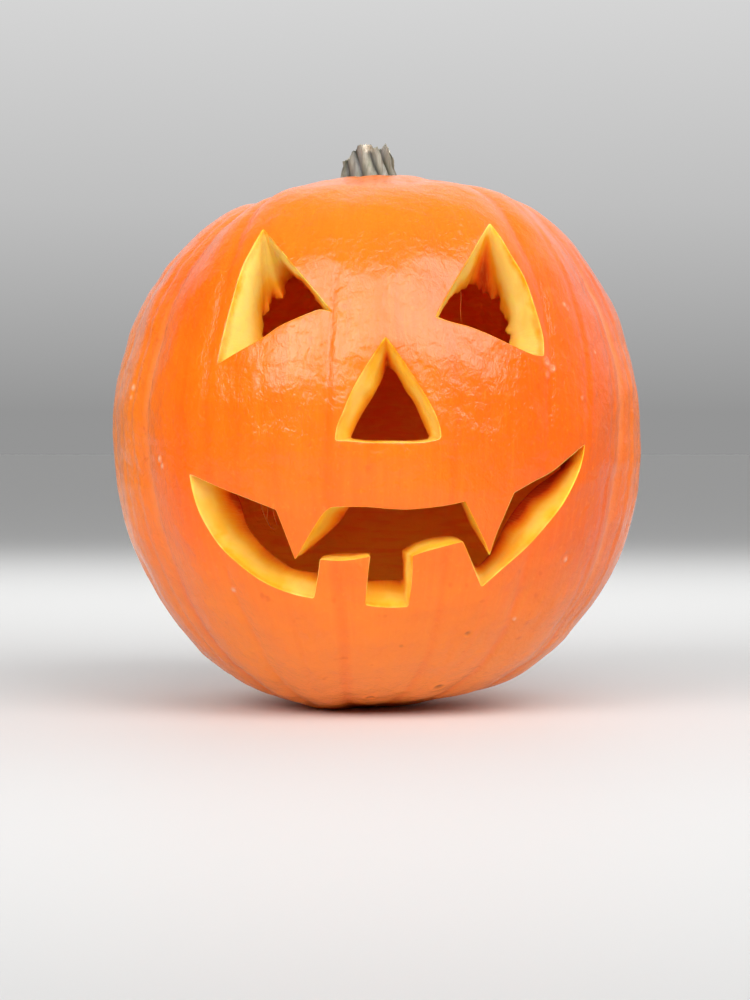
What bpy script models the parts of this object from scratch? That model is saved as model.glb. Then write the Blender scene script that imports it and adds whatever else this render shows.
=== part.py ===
"""A carved pumpkin lantern.

One hollow, ribbed pumpkin with its short woody stem, and a face cut through
its wall: two slanted three-cornered eyes, a three-cornered nose, and a wide
grinning mouth with two fangs above and two square teeth below.

Metres, +Z up. The face looks towards -Y. The origin lies under the middle of
the pumpkin, on the surface that it stands on.
"""

import math

import bmesh
import bpy
from mathutils import Vector

MM = 0.001

# ---- the pumpkin -------------------------------------------------------------
BODY_RADIUS = 135.4 * MM        # across the crowns of the ribs, at the widest level
BODY_DEPTH_RATIO = 0.985        # front to back over side to side
WAIST_HEIGHT = 138.0 * MM       # height of the widest level
UPPER_REACH = 133.6 * MM        # from the widest level up to the closing point
LOWER_REACH = 140.6 * MM        # and down, past the flat resting spot
UPPER_SQUARENESS = 2.20         # exponents of the body's outline; 2 is an ellipse
LOWER_SQUARENESS = 2.19
STEM_SHIFT = -4.6 * MM          # how far the stem end sits off the middle, along X
BASE_SHIFT = -7.0 * MM          # and the blossom end
SHIFT_POWER = 8                 # how close to the ends those shifts stay
SHOULDER_SWELL = 8.0 * MM       # the shoulder is fuller at +X than at -X
DIMPLE_DEPTH = 9.0 * MM         # the hollow that the stem grows out of
DIMPLE_RADIUS = 21.0 * MM
SCAR_DEPTH = 3.0 * MM           # the blossom scar under the pumpkin
SCAR_RADIUS = 12.0 * MM

# the furrows between the ribs, in degrees from the face towards +X
FURROWS = (-179, -153, -128, -104, -81, -57, -37.6, -10.3, 15.4, 36.7, 64.4, 88, 112, 137, 160)
FURROW_DEPTH = 2.1 * MM         # at the widest level
FURROW_STEM_DEPTH = 3.4 * MM
FURROW_BASE_DEPTH = 1.7 * MM
RIB_ROUNDNESS = 0.6             # under 1 makes the furrows sharper than the crowns
RIB_COLUMNS = 5                 # mesh columns in each rib
BODY_RINGS = 40

# ---- the hollow inside -------------------------------------------------------
WALL_SIDE = 27.0 * MM
WALL_TOP = 31.0 * MM
WALL_BASE = 27.0 * MM
CAVITY_COLUMNS = 40
CAVITY_RINGS = 22

# ---- the face ----------------------------------------------------------------
# The face is a flat stencil, in millimetres right of the middle and above the
# base. It is carried back onto the skin from a point in front of the lantern,
# and each opening is cut through the wall towards a point of its own inside.
SIGHT_POINT = Vector((0.0, -1.500, 0.150))
CORE = Vector((0.0, 0.0, 0.1355))

# Corners go round each opening. The third number is how far the edge that
# leaves the corner bows out of the opening, in millimetres.
EYE_LEFT = (
    (-58.6, 243.9, 2.4),    # top corner, down the outer edge
    (-81.9, 174.8, -4.4),   # outer corner, along the lower lid
    (-23.3, 201.3, 0.2),    # inner corner, up the brow
)
EYE_RIGHT = (
    (56.8, 245.7, -0.6),    # top corner, down the brow
    (29.9, 198.6, -1.2),    # inner corner, along the lower lid
    (84.7, 179.0, 7.0),     # outer corner, up the outer edge
)
NOSE = (
    (3.7, 188.5, 1.6),      # top corner, down the left side
    (-21.4, 137.5, 0.8),    # left corner, along the base
    (32.3, 138.1, 2.2),     # right corner, up the right side
)
MOUTH = (
    (-96.2, 116.9, 0.2),    # left corner, along the upper lip
    (-52.5, 99.3, 0.0),    # root of the left fang
    (-42.5, 74.4, -1.0),    # tip of the left fang
    (-24.4, 101.1, 0.7),    # root again, then the middle of the lip
    (44.5, 104.5, 0.0),     # root of the right fang
    (56.9, 77.3, 0.0),      # tip of the right fang
    (69.9, 108.6, 0.5),     # root again
    (107.0, 133.9, 8.6),    # right corner, along the lower lip
    (52.6, 60.8, 0.4),      # foot of the right tooth
    (43.8, 83.5, -1.0),     # its top
    (17.8, 77.1, 0.0),
    (15.4, 50.5, 0.4),      # the gap between the teeth
    (-6.3, 50.5, 0.0),
    (-3.8, 75.7, -0.6),     # top of the left tooth
    (-30.4, 74.5, 0.0),
    (-32.6, 56.1, 14.6),    # foot of the left tooth, along the lower lip
)
EDGE_STEP = 9.0                 # millimetres between the points of a bowed edge
FRONT_OF_CUT = -0.150           # the cutters start here, ahead of the skin
# name: corners, the point that the cut runs towards, and how deep it goes in Y
OPENINGS = {
    "eye_left_cut": (EYE_LEFT, CORE, -0.030),
    "eye_right_cut": (EYE_RIGHT, CORE, -0.030),
    "nose_cut": (NOSE, Vector((0.010, -0.040, 0.1375)), -0.080),
    "mouth_cut": (MOUTH, Vector((0.0, 0.0, 0.1085)), -0.040),
}

# ---- the stem ----------------------------------------------------------------
STEM_FOOT = 252.0 * MM          # inside the wall
STEM_TOP = 286.2 * MM
STEM_FLARE_RADIUS = 17.5 * MM   # where it spreads into the pumpkin
STEM_NECK_RADIUS = 13.7 * MM
STEM_RIDGES = 10
STEM_RIDGE_HEIGHT = 1.5 * MM
STEM_TWIST = math.radians(13)   # for each 10 mm of height
STEM_COLUMNS = 4                # for each ridge
STEM_LEVELS = 8
STEM_BREAK = 8.0 * MM           # how much lower it is broken off on the left


def clear_scene():
    for old in list(bpy.data.objects):
        bpy.data.objects.remove(old, do_unlink=True)


def collection(name):
    found = bpy.data.collections.new(name)
    bpy.context.scene.collection.children.link(found)
    return found


def material(name, colour, roughness, metallic):
    made = bpy.data.materials.new(name)
    made.use_nodes = True
    shader = made.node_tree.nodes["Principled BSDF"]
    shader.inputs["Base Color"].default_value = (*colour, 1.0)
    shader.inputs["Roughness"].default_value = roughness
    shader.inputs["Metallic"].default_value = metallic
    return made


def middle_of(bm):
    """The middle of a form's box in plan, which the origin is put under."""
    xs, ys = [v.co.x for v in bm.verts], [v.co.y for v in bm.verts]
    return Vector(((max(xs) + min(xs)) / 2.0, (max(ys) + min(ys)) / 2.0, 0.0))


def object_of(bm, name, where, made_of=None, helper=False):
    bmesh.ops.recalc_face_normals(bm, faces=bm.faces)
    if bm.calc_volume(signed=True) < 0:
        bmesh.ops.reverse_faces(bm, faces=bm.faces)
    mesh = bpy.data.meshes.new(name)
    bm.to_mesh(mesh)
    bm.free()
    made = bpy.data.objects.new(name, mesh)
    where.objects.link(made)
    if made_of:
        mesh.materials.append(made_of)
    if helper:
        made.hide_render = True
        made.display_type = "WIRE"
    return made


# ---- the shape of the skin ---------------------------------------------------

def rib_place(azimuth):
    """Where an azimuth in degrees lies in its rib, from 0 to 1, furrow to furrow."""
    turn = (azimuth - FURROWS[0]) % 360.0 + FURROWS[0]
    for low, high in zip(FURROWS, FURROWS[1:] + (FURROWS[0] + 360.0,)):
        if turn < high:
            return (turn - low) / (high - low)
    return 0.0


def rib_azimuth(column):
    """The azimuth in degrees of a mesh column, with one column in every furrow."""
    rib, part = divmod(column, RIB_COLUMNS)
    low = FURROWS[rib % len(FURROWS)]
    high = (FURROWS + (FURROWS[0] + 360.0,))[rib % len(FURROWS) + 1]
    return low + (high - low) * part / RIB_COLUMNS


def outline_radius(polar, ratio=1.0):
    """Distance from the core at WAIST_HEIGHT to a smooth body with no ribs."""
    side, rise = math.sin(polar), math.cos(polar)
    reach, power = (
        (UPPER_REACH, UPPER_SQUARENESS) if rise >= 0 else (LOWER_REACH, LOWER_SQUARENESS)
    )
    total = (side / (BODY_RADIUS * ratio)) ** power + (abs(rise) / reach) ** power
    return total ** (-1.0 / power)


def skin_radius(polar, azimuth):
    """Distance from the core to the skin. azimuth is in degrees from the face."""
    turn = math.radians(azimuth)
    ratio = math.hypot(math.sin(turn), BODY_DEPTH_RATIO * math.cos(turn))
    radius = outline_radius(polar, ratio)
    away = radius * math.sin(polar)
    rise = math.cos(polar)
    end_depth = FURROW_STEM_DEPTH if rise > 0 else FURROW_BASE_DEPTH
    deep = FURROW_DEPTH + (end_depth - FURROW_DEPTH) * abs(rise) ** 3
    deep *= min(1.0, away / (40.0 * MM)) ** 1.5
    crown = math.sin(math.pi * rib_place(azimuth)) ** RIB_ROUNDNESS
    radius -= deep * (1.0 - crown)
    if rise > 0:
        radius += SHOULDER_SWELL * math.sin(turn) * math.sin(polar) * rise**6
        radius -= DIMPLE_DEPTH * math.exp(-((away / DIMPLE_RADIUS) ** 2))
    return radius


def lean_at(height):
    """How far a level is shifted along X, so that the two ends sit off the middle."""
    rise = (height - WAIST_HEIGHT) / BODY_RADIUS
    return (STEM_SHIFT if rise > 0 else BASE_SHIFT) * min(1.0, abs(rise)) ** SHIFT_POWER


def skin_point(polar, azimuth):
    turn = math.radians(azimuth)
    radius = skin_radius(polar, azimuth)
    away = radius * math.sin(polar)
    height = WAIST_HEIGHT + radius * math.cos(polar)
    x, y = away * math.sin(turn), -away * math.cos(turn)
    if height < 0:  # the flat spot that it rests on, round the blossom scar
        height = SCAR_DEPTH * max(0.0, 1.0 - (away / SCAR_RADIUS) ** 2) ** 2
    return Vector((x + lean_at(height), y, height))


def inside_skin(point):
    x = point.x - lean_at(point.z)
    rise = point.z - WAIST_HEIGHT
    away = math.hypot(x, point.y)
    polar = math.atan2(away, rise)
    azimuth = math.degrees(math.atan2(x, -point.y))
    return math.hypot(away, rise) < skin_radius(polar, azimuth)


def cavity_point(polar, azimuth):
    """The scraped hollow: the smooth body less its wall, with only a hint of the ribs."""
    turn = math.radians(azimuth)
    rise = math.cos(polar)
    wall = WALL_SIDE + ((WALL_TOP if rise > 0 else WALL_BASE) - WALL_SIDE) * rise * rise
    radius = outline_radius(polar) - wall
    radius -= 0.5 * FURROW_DEPTH * (1.0 - math.sin(math.pi * rib_place(azimuth))) * math.sin(polar)
    away = radius * math.sin(polar)
    return Vector((away * math.sin(turn), -away * math.cos(turn), WAIST_HEIGHT + radius * rise))


# ---- the solids --------------------------------------------------------------

def shaped_sphere(columns, rings, azimuth_of, point_of):
    """A UV sphere whose columns and rings are carried onto a form. The rings
    lie closer together near the poles."""
    bm = bmesh.new()
    bmesh.ops.create_uvsphere(bm, u_segments=columns, v_segments=rings, radius=1.0)
    for vert in bm.verts:
        even = math.acos(max(-1.0, min(1.0, vert.co.z)))
        polar = even - 0.12 * math.sin(2.0 * even)
        column = round(math.atan2(vert.co.y, vert.co.x) / (2.0 * math.pi) * columns) % columns
        vert.co = point_of(polar, azimuth_of(column))
    return bm


def bowed_outline(corners):
    """The outline as points: each edge is a shallow arc between two corners."""
    area = sum(
        a[0] * b[1] - b[0] * a[1] for a, b in zip(corners, corners[1:] + corners[:1])
    )
    outward = 1.0 if area > 0 else -1.0  # to the right of the way round, or to the left
    points = []
    for (x0, z0, bow), (x1, z1, _) in zip(corners, corners[1:] + corners[:1]):
        length = math.hypot(x1 - x0, z1 - z0)
        steps = max(1, round(length / EDGE_STEP)) if bow else 1
        out = (outward * (z1 - z0) / length, -outward * (x1 - x0) / length)
        for step in range(steps):
            part = step / steps
            lift = bow * 4.0 * part * (1.0 - part)
            points.append(
                (
                    (x0 + (x1 - x0) * part + out[0] * lift) * MM,
                    (z0 + (z1 - z0) * part + out[1] * lift) * MM,
                )
            )
    return points


def onto_skin(x, z):
    """Where the line of sight through a stencil point meets the skin."""
    far = Vector((x, 0.0, z))
    start = (FRONT_OF_CUT - SIGHT_POINT.y) / (far.y - SIGHT_POINT.y)
    low, high = start, 1.0
    for _ in range(40):
        middle = 0.5 * (low + high)
        if inside_skin(SIGHT_POINT.lerp(far, middle)):
            high = middle
        else:
            low = middle
    return SIGHT_POINT.lerp(far, high)


def loft(bm, rings):
    """Joins closed rings of equal length side to side, and closes both ends."""
    levels = [[bm.verts.new(p) for p in ring] for ring in rings]
    count = len(levels[0])
    for lower, upper in zip(levels, levels[1:]):
        for i in range(count):
            j = (i + 1) % count
            bm.faces.new((lower[i], lower[j], upper[j], upper[i]))
    return bm.faces.new(levels[0]), bm.faces.new(levels[-1])


def opening_cutter(name, where, corners, focus, depth):
    """A block with the opening's outline, which narrows towards its focus."""
    outline = [onto_skin(x, z) for x, z in bowed_outline(corners)]

    def ring(y):
        return [focus + (p - focus) * ((y - focus.y) / (p.y - focus.y)) for p in outline]

    bm = bmesh.new()
    ends = loft(bm, [ring(FRONT_OF_CUT), ring(depth)])
    bmesh.ops.triangulate(bm, faces=list(ends), ngon_method="EAR_CLIP")
    return object_of(bm, name, where, helper=True)


def stem_form(where):
    """The stem: a ridged, twisted column that flares into the pumpkin and is
    broken off unevenly, lower on the left and sunk a little in the middle."""
    columns = STEM_RIDGES * STEM_COLUMNS

    def ring(part):
        height = STEM_FOOT + (STEM_TOP - STEM_FOOT) * part
        flare = (STEM_FLARE_RADIUS - STEM_NECK_RADIUS) * (1.0 - part) ** 2
        twist = -STEM_TWIST * (height - STEM_FOOT) / (10.0 * MM)
        for column in range(columns):
            turn = 2.0 * math.pi * column / columns
            ridge = math.cos(STEM_RIDGES * turn) * (1.0 if column // STEM_COLUMNS % 2 else 0.7)
            radius = STEM_NECK_RADIUS + flare + 0.5 * STEM_RIDGE_HEIGHT * ridge
            x = radius * math.sin(turn + twist)
            drop = STEM_BREAK * max(0.0, min(1.0, (-x - 7.0 * MM) / (5.0 * MM))) * part**3
            yield Vector((STEM_SHIFT + x, -radius * math.cos(turn + twist), height - drop))

    bm = bmesh.new()
    foot, top = loft(bm, [ring(level / STEM_LEVELS) for level in range(STEM_LEVELS + 1)])
    bmesh.ops.triangulate(bm, faces=[foot], ngon_method="EAR_CLIP")
    middle = bmesh.ops.poke(bm, faces=[top])["verts"][0]
    middle.co.z -= 2.0 * MM
    return object_of(bm, "stem_form", where, helper=True)


def boolean(target, tool, operation):
    modifier = target.modifiers.new(tool.name, "BOOLEAN")
    modifier.object = tool
    modifier.operation = operation
    modifier.solver = "EXACT"


def main():
    clear_scene()
    lantern_parts = collection("carved_pumpkin_lantern")
    helpers = collection("lantern_cutters")
    skin = material("pumpkin", (0.93, 0.27, 0.02), 0.42, 0.0)

    outside = shaped_sphere(len(FURROWS) * RIB_COLUMNS, BODY_RINGS, rib_azimuth, skin_point)
    middle = middle_of(outside)
    body = object_of(outside, "pumpkin_lantern", lantern_parts, skin)
    hollow = object_of(
        shaped_sphere(
            CAVITY_COLUMNS,
            CAVITY_RINGS,
            lambda column: 360.0 * column / CAVITY_COLUMNS,
            cavity_point,
        ),
        "hollow_cut",
        helpers,
        helper=True,
    )
    boolean(body, stem_form(helpers), "UNION")
    boolean(body, hollow, "DIFFERENCE")
    for name, (corners, focus, depth) in OPENINGS.items():
        boolean(body, opening_cutter(name, helpers, corners, focus, depth), "DIFFERENCE")
    for piece in (body, *helpers.objects):
        piece.location = -middle
    body.data.shade_smooth()
    body.data.set_sharp_from_angle(angle=math.radians(35))


main()
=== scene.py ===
"""The looks of the carved pumpkin lantern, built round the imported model.

The CAD solid is replaced by one closed shell: the rind with its ribs, furrows
and scars, the cut walls of the eyes, nose and mouth, and the scraped hollow
behind them. A separate piece stands for the dry stem, and another for the
threads of pulp that hang in the openings.

Lengths are in millimetres until a mesh is made. The face looks towards -Y.
"""

import math

import bpy
import numpy as np
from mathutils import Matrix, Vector
from mathutils.geometry import delaunay_2d_cdt


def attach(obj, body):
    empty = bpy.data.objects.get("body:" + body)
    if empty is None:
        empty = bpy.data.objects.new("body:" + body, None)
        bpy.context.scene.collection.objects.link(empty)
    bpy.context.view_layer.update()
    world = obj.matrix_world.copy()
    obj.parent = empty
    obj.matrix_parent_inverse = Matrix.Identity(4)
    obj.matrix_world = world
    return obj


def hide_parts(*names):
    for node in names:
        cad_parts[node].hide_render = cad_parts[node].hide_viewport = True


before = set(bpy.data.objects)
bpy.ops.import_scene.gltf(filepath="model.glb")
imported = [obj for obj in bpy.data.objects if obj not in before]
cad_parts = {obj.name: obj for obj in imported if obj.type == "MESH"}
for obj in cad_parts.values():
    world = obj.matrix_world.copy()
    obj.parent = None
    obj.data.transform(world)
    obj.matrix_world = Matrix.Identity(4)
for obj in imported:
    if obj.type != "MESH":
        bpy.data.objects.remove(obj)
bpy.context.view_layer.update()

NODE = "pumpkin_lantern"
MM = 0.001
# The body's own axis lies this far from the middle of its box, as in the CAD.
MIDDLE = np.array((-0.338, -0.356, 0.0))

# ---- the body, with the CAD's own sizes --------------------------------------
BODY_RADIUS = 135.4
BODY_DEPTH_RATIO = 0.985
WAIST = 138.0
UPPER_REACH, UPPER_POWER = 133.6, 2.20
LOWER_REACH, LOWER_POWER = 140.6, 2.19
STEM_SHIFT, BASE_SHIFT, SHIFT_POWER = -4.6, -7.0, 8
SHOULDER_SWELL = 8.0
DIMPLE_DEPTH, DIMPLE_RADIUS = 9.0, 21.0
SCAR_DEPTH, SCAR_RADIUS = 3.0, 12.0
FURROWS = np.radians(
    (-179, -153, -128, -104, -81, -57, -37.6, -10.3, 15.4, 36.7, 64.4, 88, 112, 137, 160)
)
FURROW_NEXT = np.append(FURROWS, FURROWS[0] + 2 * math.pi)
# how deep each furrow is, against the usual depth: half-way up, near the stem and near the base
FURROW_WEIGHT = np.array(
    (1.0, 0.9, 1.1, 1.0, 1.1, 1.1, 0.55, 1.15, 0.8, 0.85, 1.1, 1.1, 0.9, 1.0, 1.1)
)
FURROW_TOP = np.array(
    (1.0, 0.9, 1.0, 1.0, 1.1, 0.9, 1.15, 0.22, 0.22, 1.15, 0.8, 1.0, 0.9, 1.0, 1.1)
)
FURROW_LOW = np.array(
    (1.0, 0.9, 1.1, 1.0, 1.1, 1.2, 1.0, 0.6, 0.6, 1.0, 1.1, 1.1, 0.9, 1.0, 1.1)
)
FURROW_DEPTH, FURROW_STEM_DEPTH, FURROW_BASE_DEPTH = 2.1, 3.4, 1.7
RIB_ROUNDNESS = 0.62
WALL_SIDE, WALL_TOP, WALL_BASE = 27.0, 31.0, 27.0

SIGHT = np.array((0.0, -1500.0, 150.0))
FRONT = -150.0

# ---- the face ----------------------------------------------------------------
# Each opening is a ring of corners and edges, in millimetres right of the
# middle and above the base, seen from SIGHT. A corner has its place on the
# rind, how much it is rounded, and where it comes out on the hollow's wall. An
# edge has the places that it passes on the rind and on the hollow's wall, and
# pairs that tell how far along the one goes with how far along the other.
EYE_LEFT = (
    ("apex", (-58.5, 243.5), 1.2, ((-42.6, 219.3), (-46.3, 214.9), (-46.9, 211.2), (-47.3, 207.6), (-53.6, 207.4), (-55.6, 203.8), (-56.9, 199.0), (-58.9, 197.7))),
    ("edge", ((-63.7, 234.5), (-68.3, 225.8), (-71.8, 215.6), (-74.5, 205.9), (-77.3, 195.6), (-79.8, 185.4)), ((-58.8, 193.6), (-58.2, 189.5)), ()),
    ("corner", (-81.8, 174.8), 0.8, ((-57.9, 183.3), (-56.3, 180.8))),
    ("edge", ((-69.8, 182.0), (-59.9, 187.5), (-51.5, 193.4), (-43.1, 197.5), (-35.3, 200.7), (-29.7, 202.5)), ((-44.5, 188.5), (-30.2, 194.6)), ()),
    ("corner", (-23.8, 201.6), 0.7, ((-22.0, 197.7), (-22.5, 199.7))),
    ("edge", ((-31.2, 210.7), (-38.9, 219.8), (-47.1, 229.6), (-53.7, 237.7)), ((-27.9, 203.6), (-35.3, 211.8)), ((0.5, 0.95),)),
)
EYE_RIGHT = (
    ("apex", (57.1, 246.3), 1.0, ((61.7, 207.8), (58.5, 207.0), (55.9, 209.7), (50.7, 212.3), (49.7, 214.9), (47.1, 214.4), (45.3, 214.1))),
    ("edge", ((52.2, 238.1), (46.4, 228.1), (39.7, 217.1), (35.4, 209.4), (32.3, 203.8)), ((44.5, 212.3), (38.7, 210.6), (37.7, 210.0), (34.3, 204.6), (31.5, 199.7)), ((0.76, 0.37),)),
    ("corner", (29.7, 198.6), 0.7, ((30.0, 196.1), (31.3, 194.6))),
    ("edge", ((37.1, 196.3), (45.5, 194.2), (51.8, 191.9), (58.0, 189.3), (66.4, 185.4), (71.6, 183.0), (79.4, 179.6)), ((47.6, 187.4), (60.4, 181.3)), ()),
    ("corner", (84.8, 178.8), 0.8, ((67.4, 180.8), (66.8, 182.8))),
    ("edge", ((84.7, 185.6), (83.4, 192.6), (80.0, 203.9), (74.8, 218.5), (68.0, 230.0), (62.2, 239.7)), ((66.4, 185.6), (67.2, 189.3), (64.8, 190.9), (65.9, 195.5), (63.0, 200.7), (62.2, 204.9)), ()),
)
NOSE = (
    ("corner", (4.0, 188.3), 0.8, ((5.4, 172.6), (4.7, 172.6))),
    ("edge", ((-1.7, 179.9), (-6.6, 172.4), (-11.0, 164.9), (-14.7, 157.4), (-17.8, 149.8), (-20.8, 142.4)), ((2.1, 165.7), (-2.1, 157.7), (-6.2, 151.2), (-10.3, 143.9)), ()),
    ("corner", (-21.8, 135.7), 0.9, ((-13.4, 137.3), (-12.8, 136.3))),
    ("edge", ((-12.8, 135.3), (-6.1, 134.7), (1.6, 134.5), (16.9, 134.5), (24.1, 134.8)), ((-9.7, 136.1), (-5.1, 135.6), (1.6, 135.5), (14.4, 135.5), (22.0, 136.0)), ()),
    ("corner", (32.3, 136.4), 1.8, ((25.1, 136.5), (25.8, 137.7))),
    ("edge", ((31.6, 142.4), (28.8, 150.0), (24.8, 157.4), (20.2, 164.9), (15.3, 172.4), (10.1, 179.9)), ((22.4, 145.1), (18.3, 154.5), (14.2, 160.2), (9.3, 169.2)), ()),
)
MOUTH = (
    ("corner", (-96.3, 118.1), 0.9, ((-71.7, 108.1), (-70.1, 113.2))),
    ("edge", ((-82.9, 112.0), (-67.6, 105.8)), ((-57.8, 110.6),), ()),
    ("tip", (-52.4, 99.8), 0.7, ((-43.5, 106.0), (-43.0, 104.0))),
    ("edge", ((-47.6, 87.6),), ((-40.4, 91.7),), ()),
    ("tip", (-42.5, 74.1), 1.3, ((-40.2, 79.9), (-39.7, 76.3))),
    ("edge", ((-40.3, 77.7), (-36.3, 84.8), (-32.1, 91.7), (-27.8, 98.1)), ((-37.9, 77.2), (-32.2, 82.2), (-24.0, 89.1), (-18.6, 94.6)), ()),
    ("corner", (-24.3, 101.0), 0.8, ((-13.8, 101.9), (-12.3, 105.0))),
    ("edge", ((-14.8, 101.4), (-4.8, 101.2), (4.1, 100.4), (13.0, 99.9), (22.0, 100.4), (30.8, 101.4), (38.4, 102.6)), ((11.8, 108.1),), ()),
    ("corner", (44.8, 104.2), 0.8, ((40.5, 107.6), (42.5, 103.0))),
    ("edge", ((48.2, 97.3), (52.2, 88.9), (55.3, 82.0)), ((46.1, 94.8), (50.0, 87.7), (53.8, 81.4)), ()),
    ("tip", (57.2, 76.2), 1.3, ((56.1, 78.4), (56.6, 81.4))),
    ("edge", ((60.7, 86.8), (65.1, 97.2)), ((56.9, 89.6), (59.9, 100.9)), ()),
    ("tip", (69.9, 108.5), 0.7, ((63.5, 109.6), (64.5, 112.2))),
    ("edge", ((79.4, 114.0), (89.1, 119.3), (97.3, 126.0)), ((78.4, 117.3), (86.6, 122.4)), ()),
    ("corner", (105.9, 133.4), 0.8, ((92.7, 124.5), (93.2, 120.9))),
    ("edge", ((104.7, 126.0), (102.2, 117.9), (95.4, 104.2), (87.1, 93.2), (76.1, 80.9), (63.7, 69.9)), ((89.8, 118.2), (81.0, 112.3), (72.0, 103.3), (64.6, 92.6), (58.9, 80.9), (54.3, 74.3)), ()),
    ("corner", (53.2, 60.6), 1.0, ((50.2, 71.0), (49.1, 72.2))),
    ("edge", ((50.7, 66.6), (47.9, 74.0), (45.6, 79.5)), ((46.1, 76.8),), ()),
    ("tip", (43.6, 83.9), 1.2, ((42.6, 83.0), (41.5, 85.2))),
    ("edge", ((36.3, 82.1), (26.6, 79.5), (22.0, 78.1)), ((37.7, 86.6), (29.5, 86.4), (22.0, 84.8), (16.9, 82.3)), ()),
    ("tip", (17.6, 76.5), 0.9, ((12.4, 79.7), (12.2, 78.4))),
    ("edge", ((17.2, 64.0),), ((12.8, 71.7),), ()),
    ("corner", (15.5, 50.4), 1.3, ((12.8, 65.1), (11.5, 63.8))),
    ("edge", ((7.7, 50.0), (0.6, 50.3)), ((4.6, 64.6), (-2.0, 64.3)), ()),
    ("corner", (-6.2, 51.2), 1.2, ((-5.1, 64.0), (-5.9, 65.6))),
    ("edge", ((-5.2, 64.0),), ((-6.6, 71.7),), ()),
    ("tip", (-3.8, 76.3), 0.8, ((-5.6, 75.8), (-3.5, 78.2))),
    ("edge", ((-13.1, 74.6), (-22.0, 74.2)), ((-15.8, 78.2), (-24.0, 77.7)), ()),
    ("tip", (-29.7, 74.9), 0.9, ((-28.2, 76.8), (-28.5, 74.3))),
    ("edge", ((-31.0, 65.1),), ((-28.6, 70.7),), ()),
    ("corner", (-32.9, 54.7), 1.0, ((-29.9, 67.4), (-31.5, 68.2))),
    ("edge", ((-43.2, 56.9), (-55.6, 61.6), (-66.5, 68.5), (-80.3, 80.9), (-89.9, 95.9), (-94.2, 107.6)), ((-42.0, 69.9), (-47.3, 72.7), (-54.2, 78.1), (-61.1, 85.0), (-66.5, 93.2), (-69.3, 102.8)), ()),
)
OPENINGS = {"eye_left": EYE_LEFT, "eye_right": EYE_RIGHT, "nose": NOSE, "mouth": MOUTH}
COLUMN = 1.15          # millimetres between the columns of a cut wall
RIND_ROUND = 0.65      # the rounding of the rind's cut edge
INNER_ROUND = 1.2      # and of the edge on the hollow's wall


def waves(points, size, seed, count=26):
    """Smooth noise of about unit strength: a sum of plane waves of this size."""
    rng = np.random.default_rng(seed)
    ways = rng.normal(size=(count, 3))
    ways /= np.linalg.norm(ways, axis=1)[:, None]
    rate = 2 * math.pi / (size * rng.uniform(0.7, 1.6, count))
    start = rng.uniform(0, 2 * math.pi, count)
    total = np.zeros(len(points))
    for way, k, s in zip(ways, rate, start):
        total += np.sin(points @ way * k + s)
    return total / math.sqrt(count / 2)


def smooth(low, high, value):
    t = np.clip((value - low) / (high - low), 0.0, 1.0)
    return t * t * (3 - 2 * t)


def toward(polar, azimuth):
    return np.stack(
        (np.sin(polar) * np.sin(azimuth), -np.sin(polar) * np.cos(azimuth), np.cos(polar)), -1
    )


def rib_place(azimuth):
    """(place in the rib from 0 to 1, its number)."""
    turn = (azimuth - FURROWS[0]) % (2 * math.pi) + FURROWS[0]
    rib = np.clip(np.searchsorted(FURROW_NEXT, turn, side="right") - 1, 0, len(FURROWS) - 1)
    return (turn - FURROW_NEXT[rib]) / (FURROW_NEXT[rib + 1] - FURROW_NEXT[rib]), rib


def outline_radius(polar, ratio=1.0):
    side, rise = np.sin(polar), np.cos(polar)
    reach = np.where(rise >= 0, UPPER_REACH, LOWER_REACH)
    power = np.where(rise >= 0, UPPER_POWER, LOWER_POWER)
    total = (side / (BODY_RADIUS * ratio)) ** power + (np.abs(rise) / reach) ** power
    return total ** (-1.0 / power)


def curve(degrees, values, soften=2.5):
    """A smooth curve through a table: (fine angles in radians, their values)."""
    fine = np.arange(-190.0, 190.01, 0.5)
    rough = np.interp(fine, degrees, values)
    reach = np.arange(-4 * soften, 4 * soften + 0.25, 0.5)
    weight = np.exp(-0.5 * (reach / soften) ** 2)
    half = len(reach) // 2
    return np.radians(fine), np.convolve(np.pad(rough, half, mode="edge"), weight / weight.sum(), "valid")


# the front shoulder is fuller than the rest, so it hides the foot of the stem
SHOULDER = curve(
    (0, 7, 11, 15, 19, 22, 25, 29, 34, 40, 45, 50, 57, 66, 76, 90),
    (0, 0, 0, -0.1, 0.1, 0.5, 1.7, 4.2, 6.4, 7.5, 7.2, 6.2, 4.2, 2.0, 0.5, 0),
)
SHOULDER_ACROSS = curve((-190, -64, -52, -45, -38, 38, 48, 60, 78, 190), (0, 0, 0.16, 0.7, 1, 1, 0.85, 0.25, 0, 0), 2.5)
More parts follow.
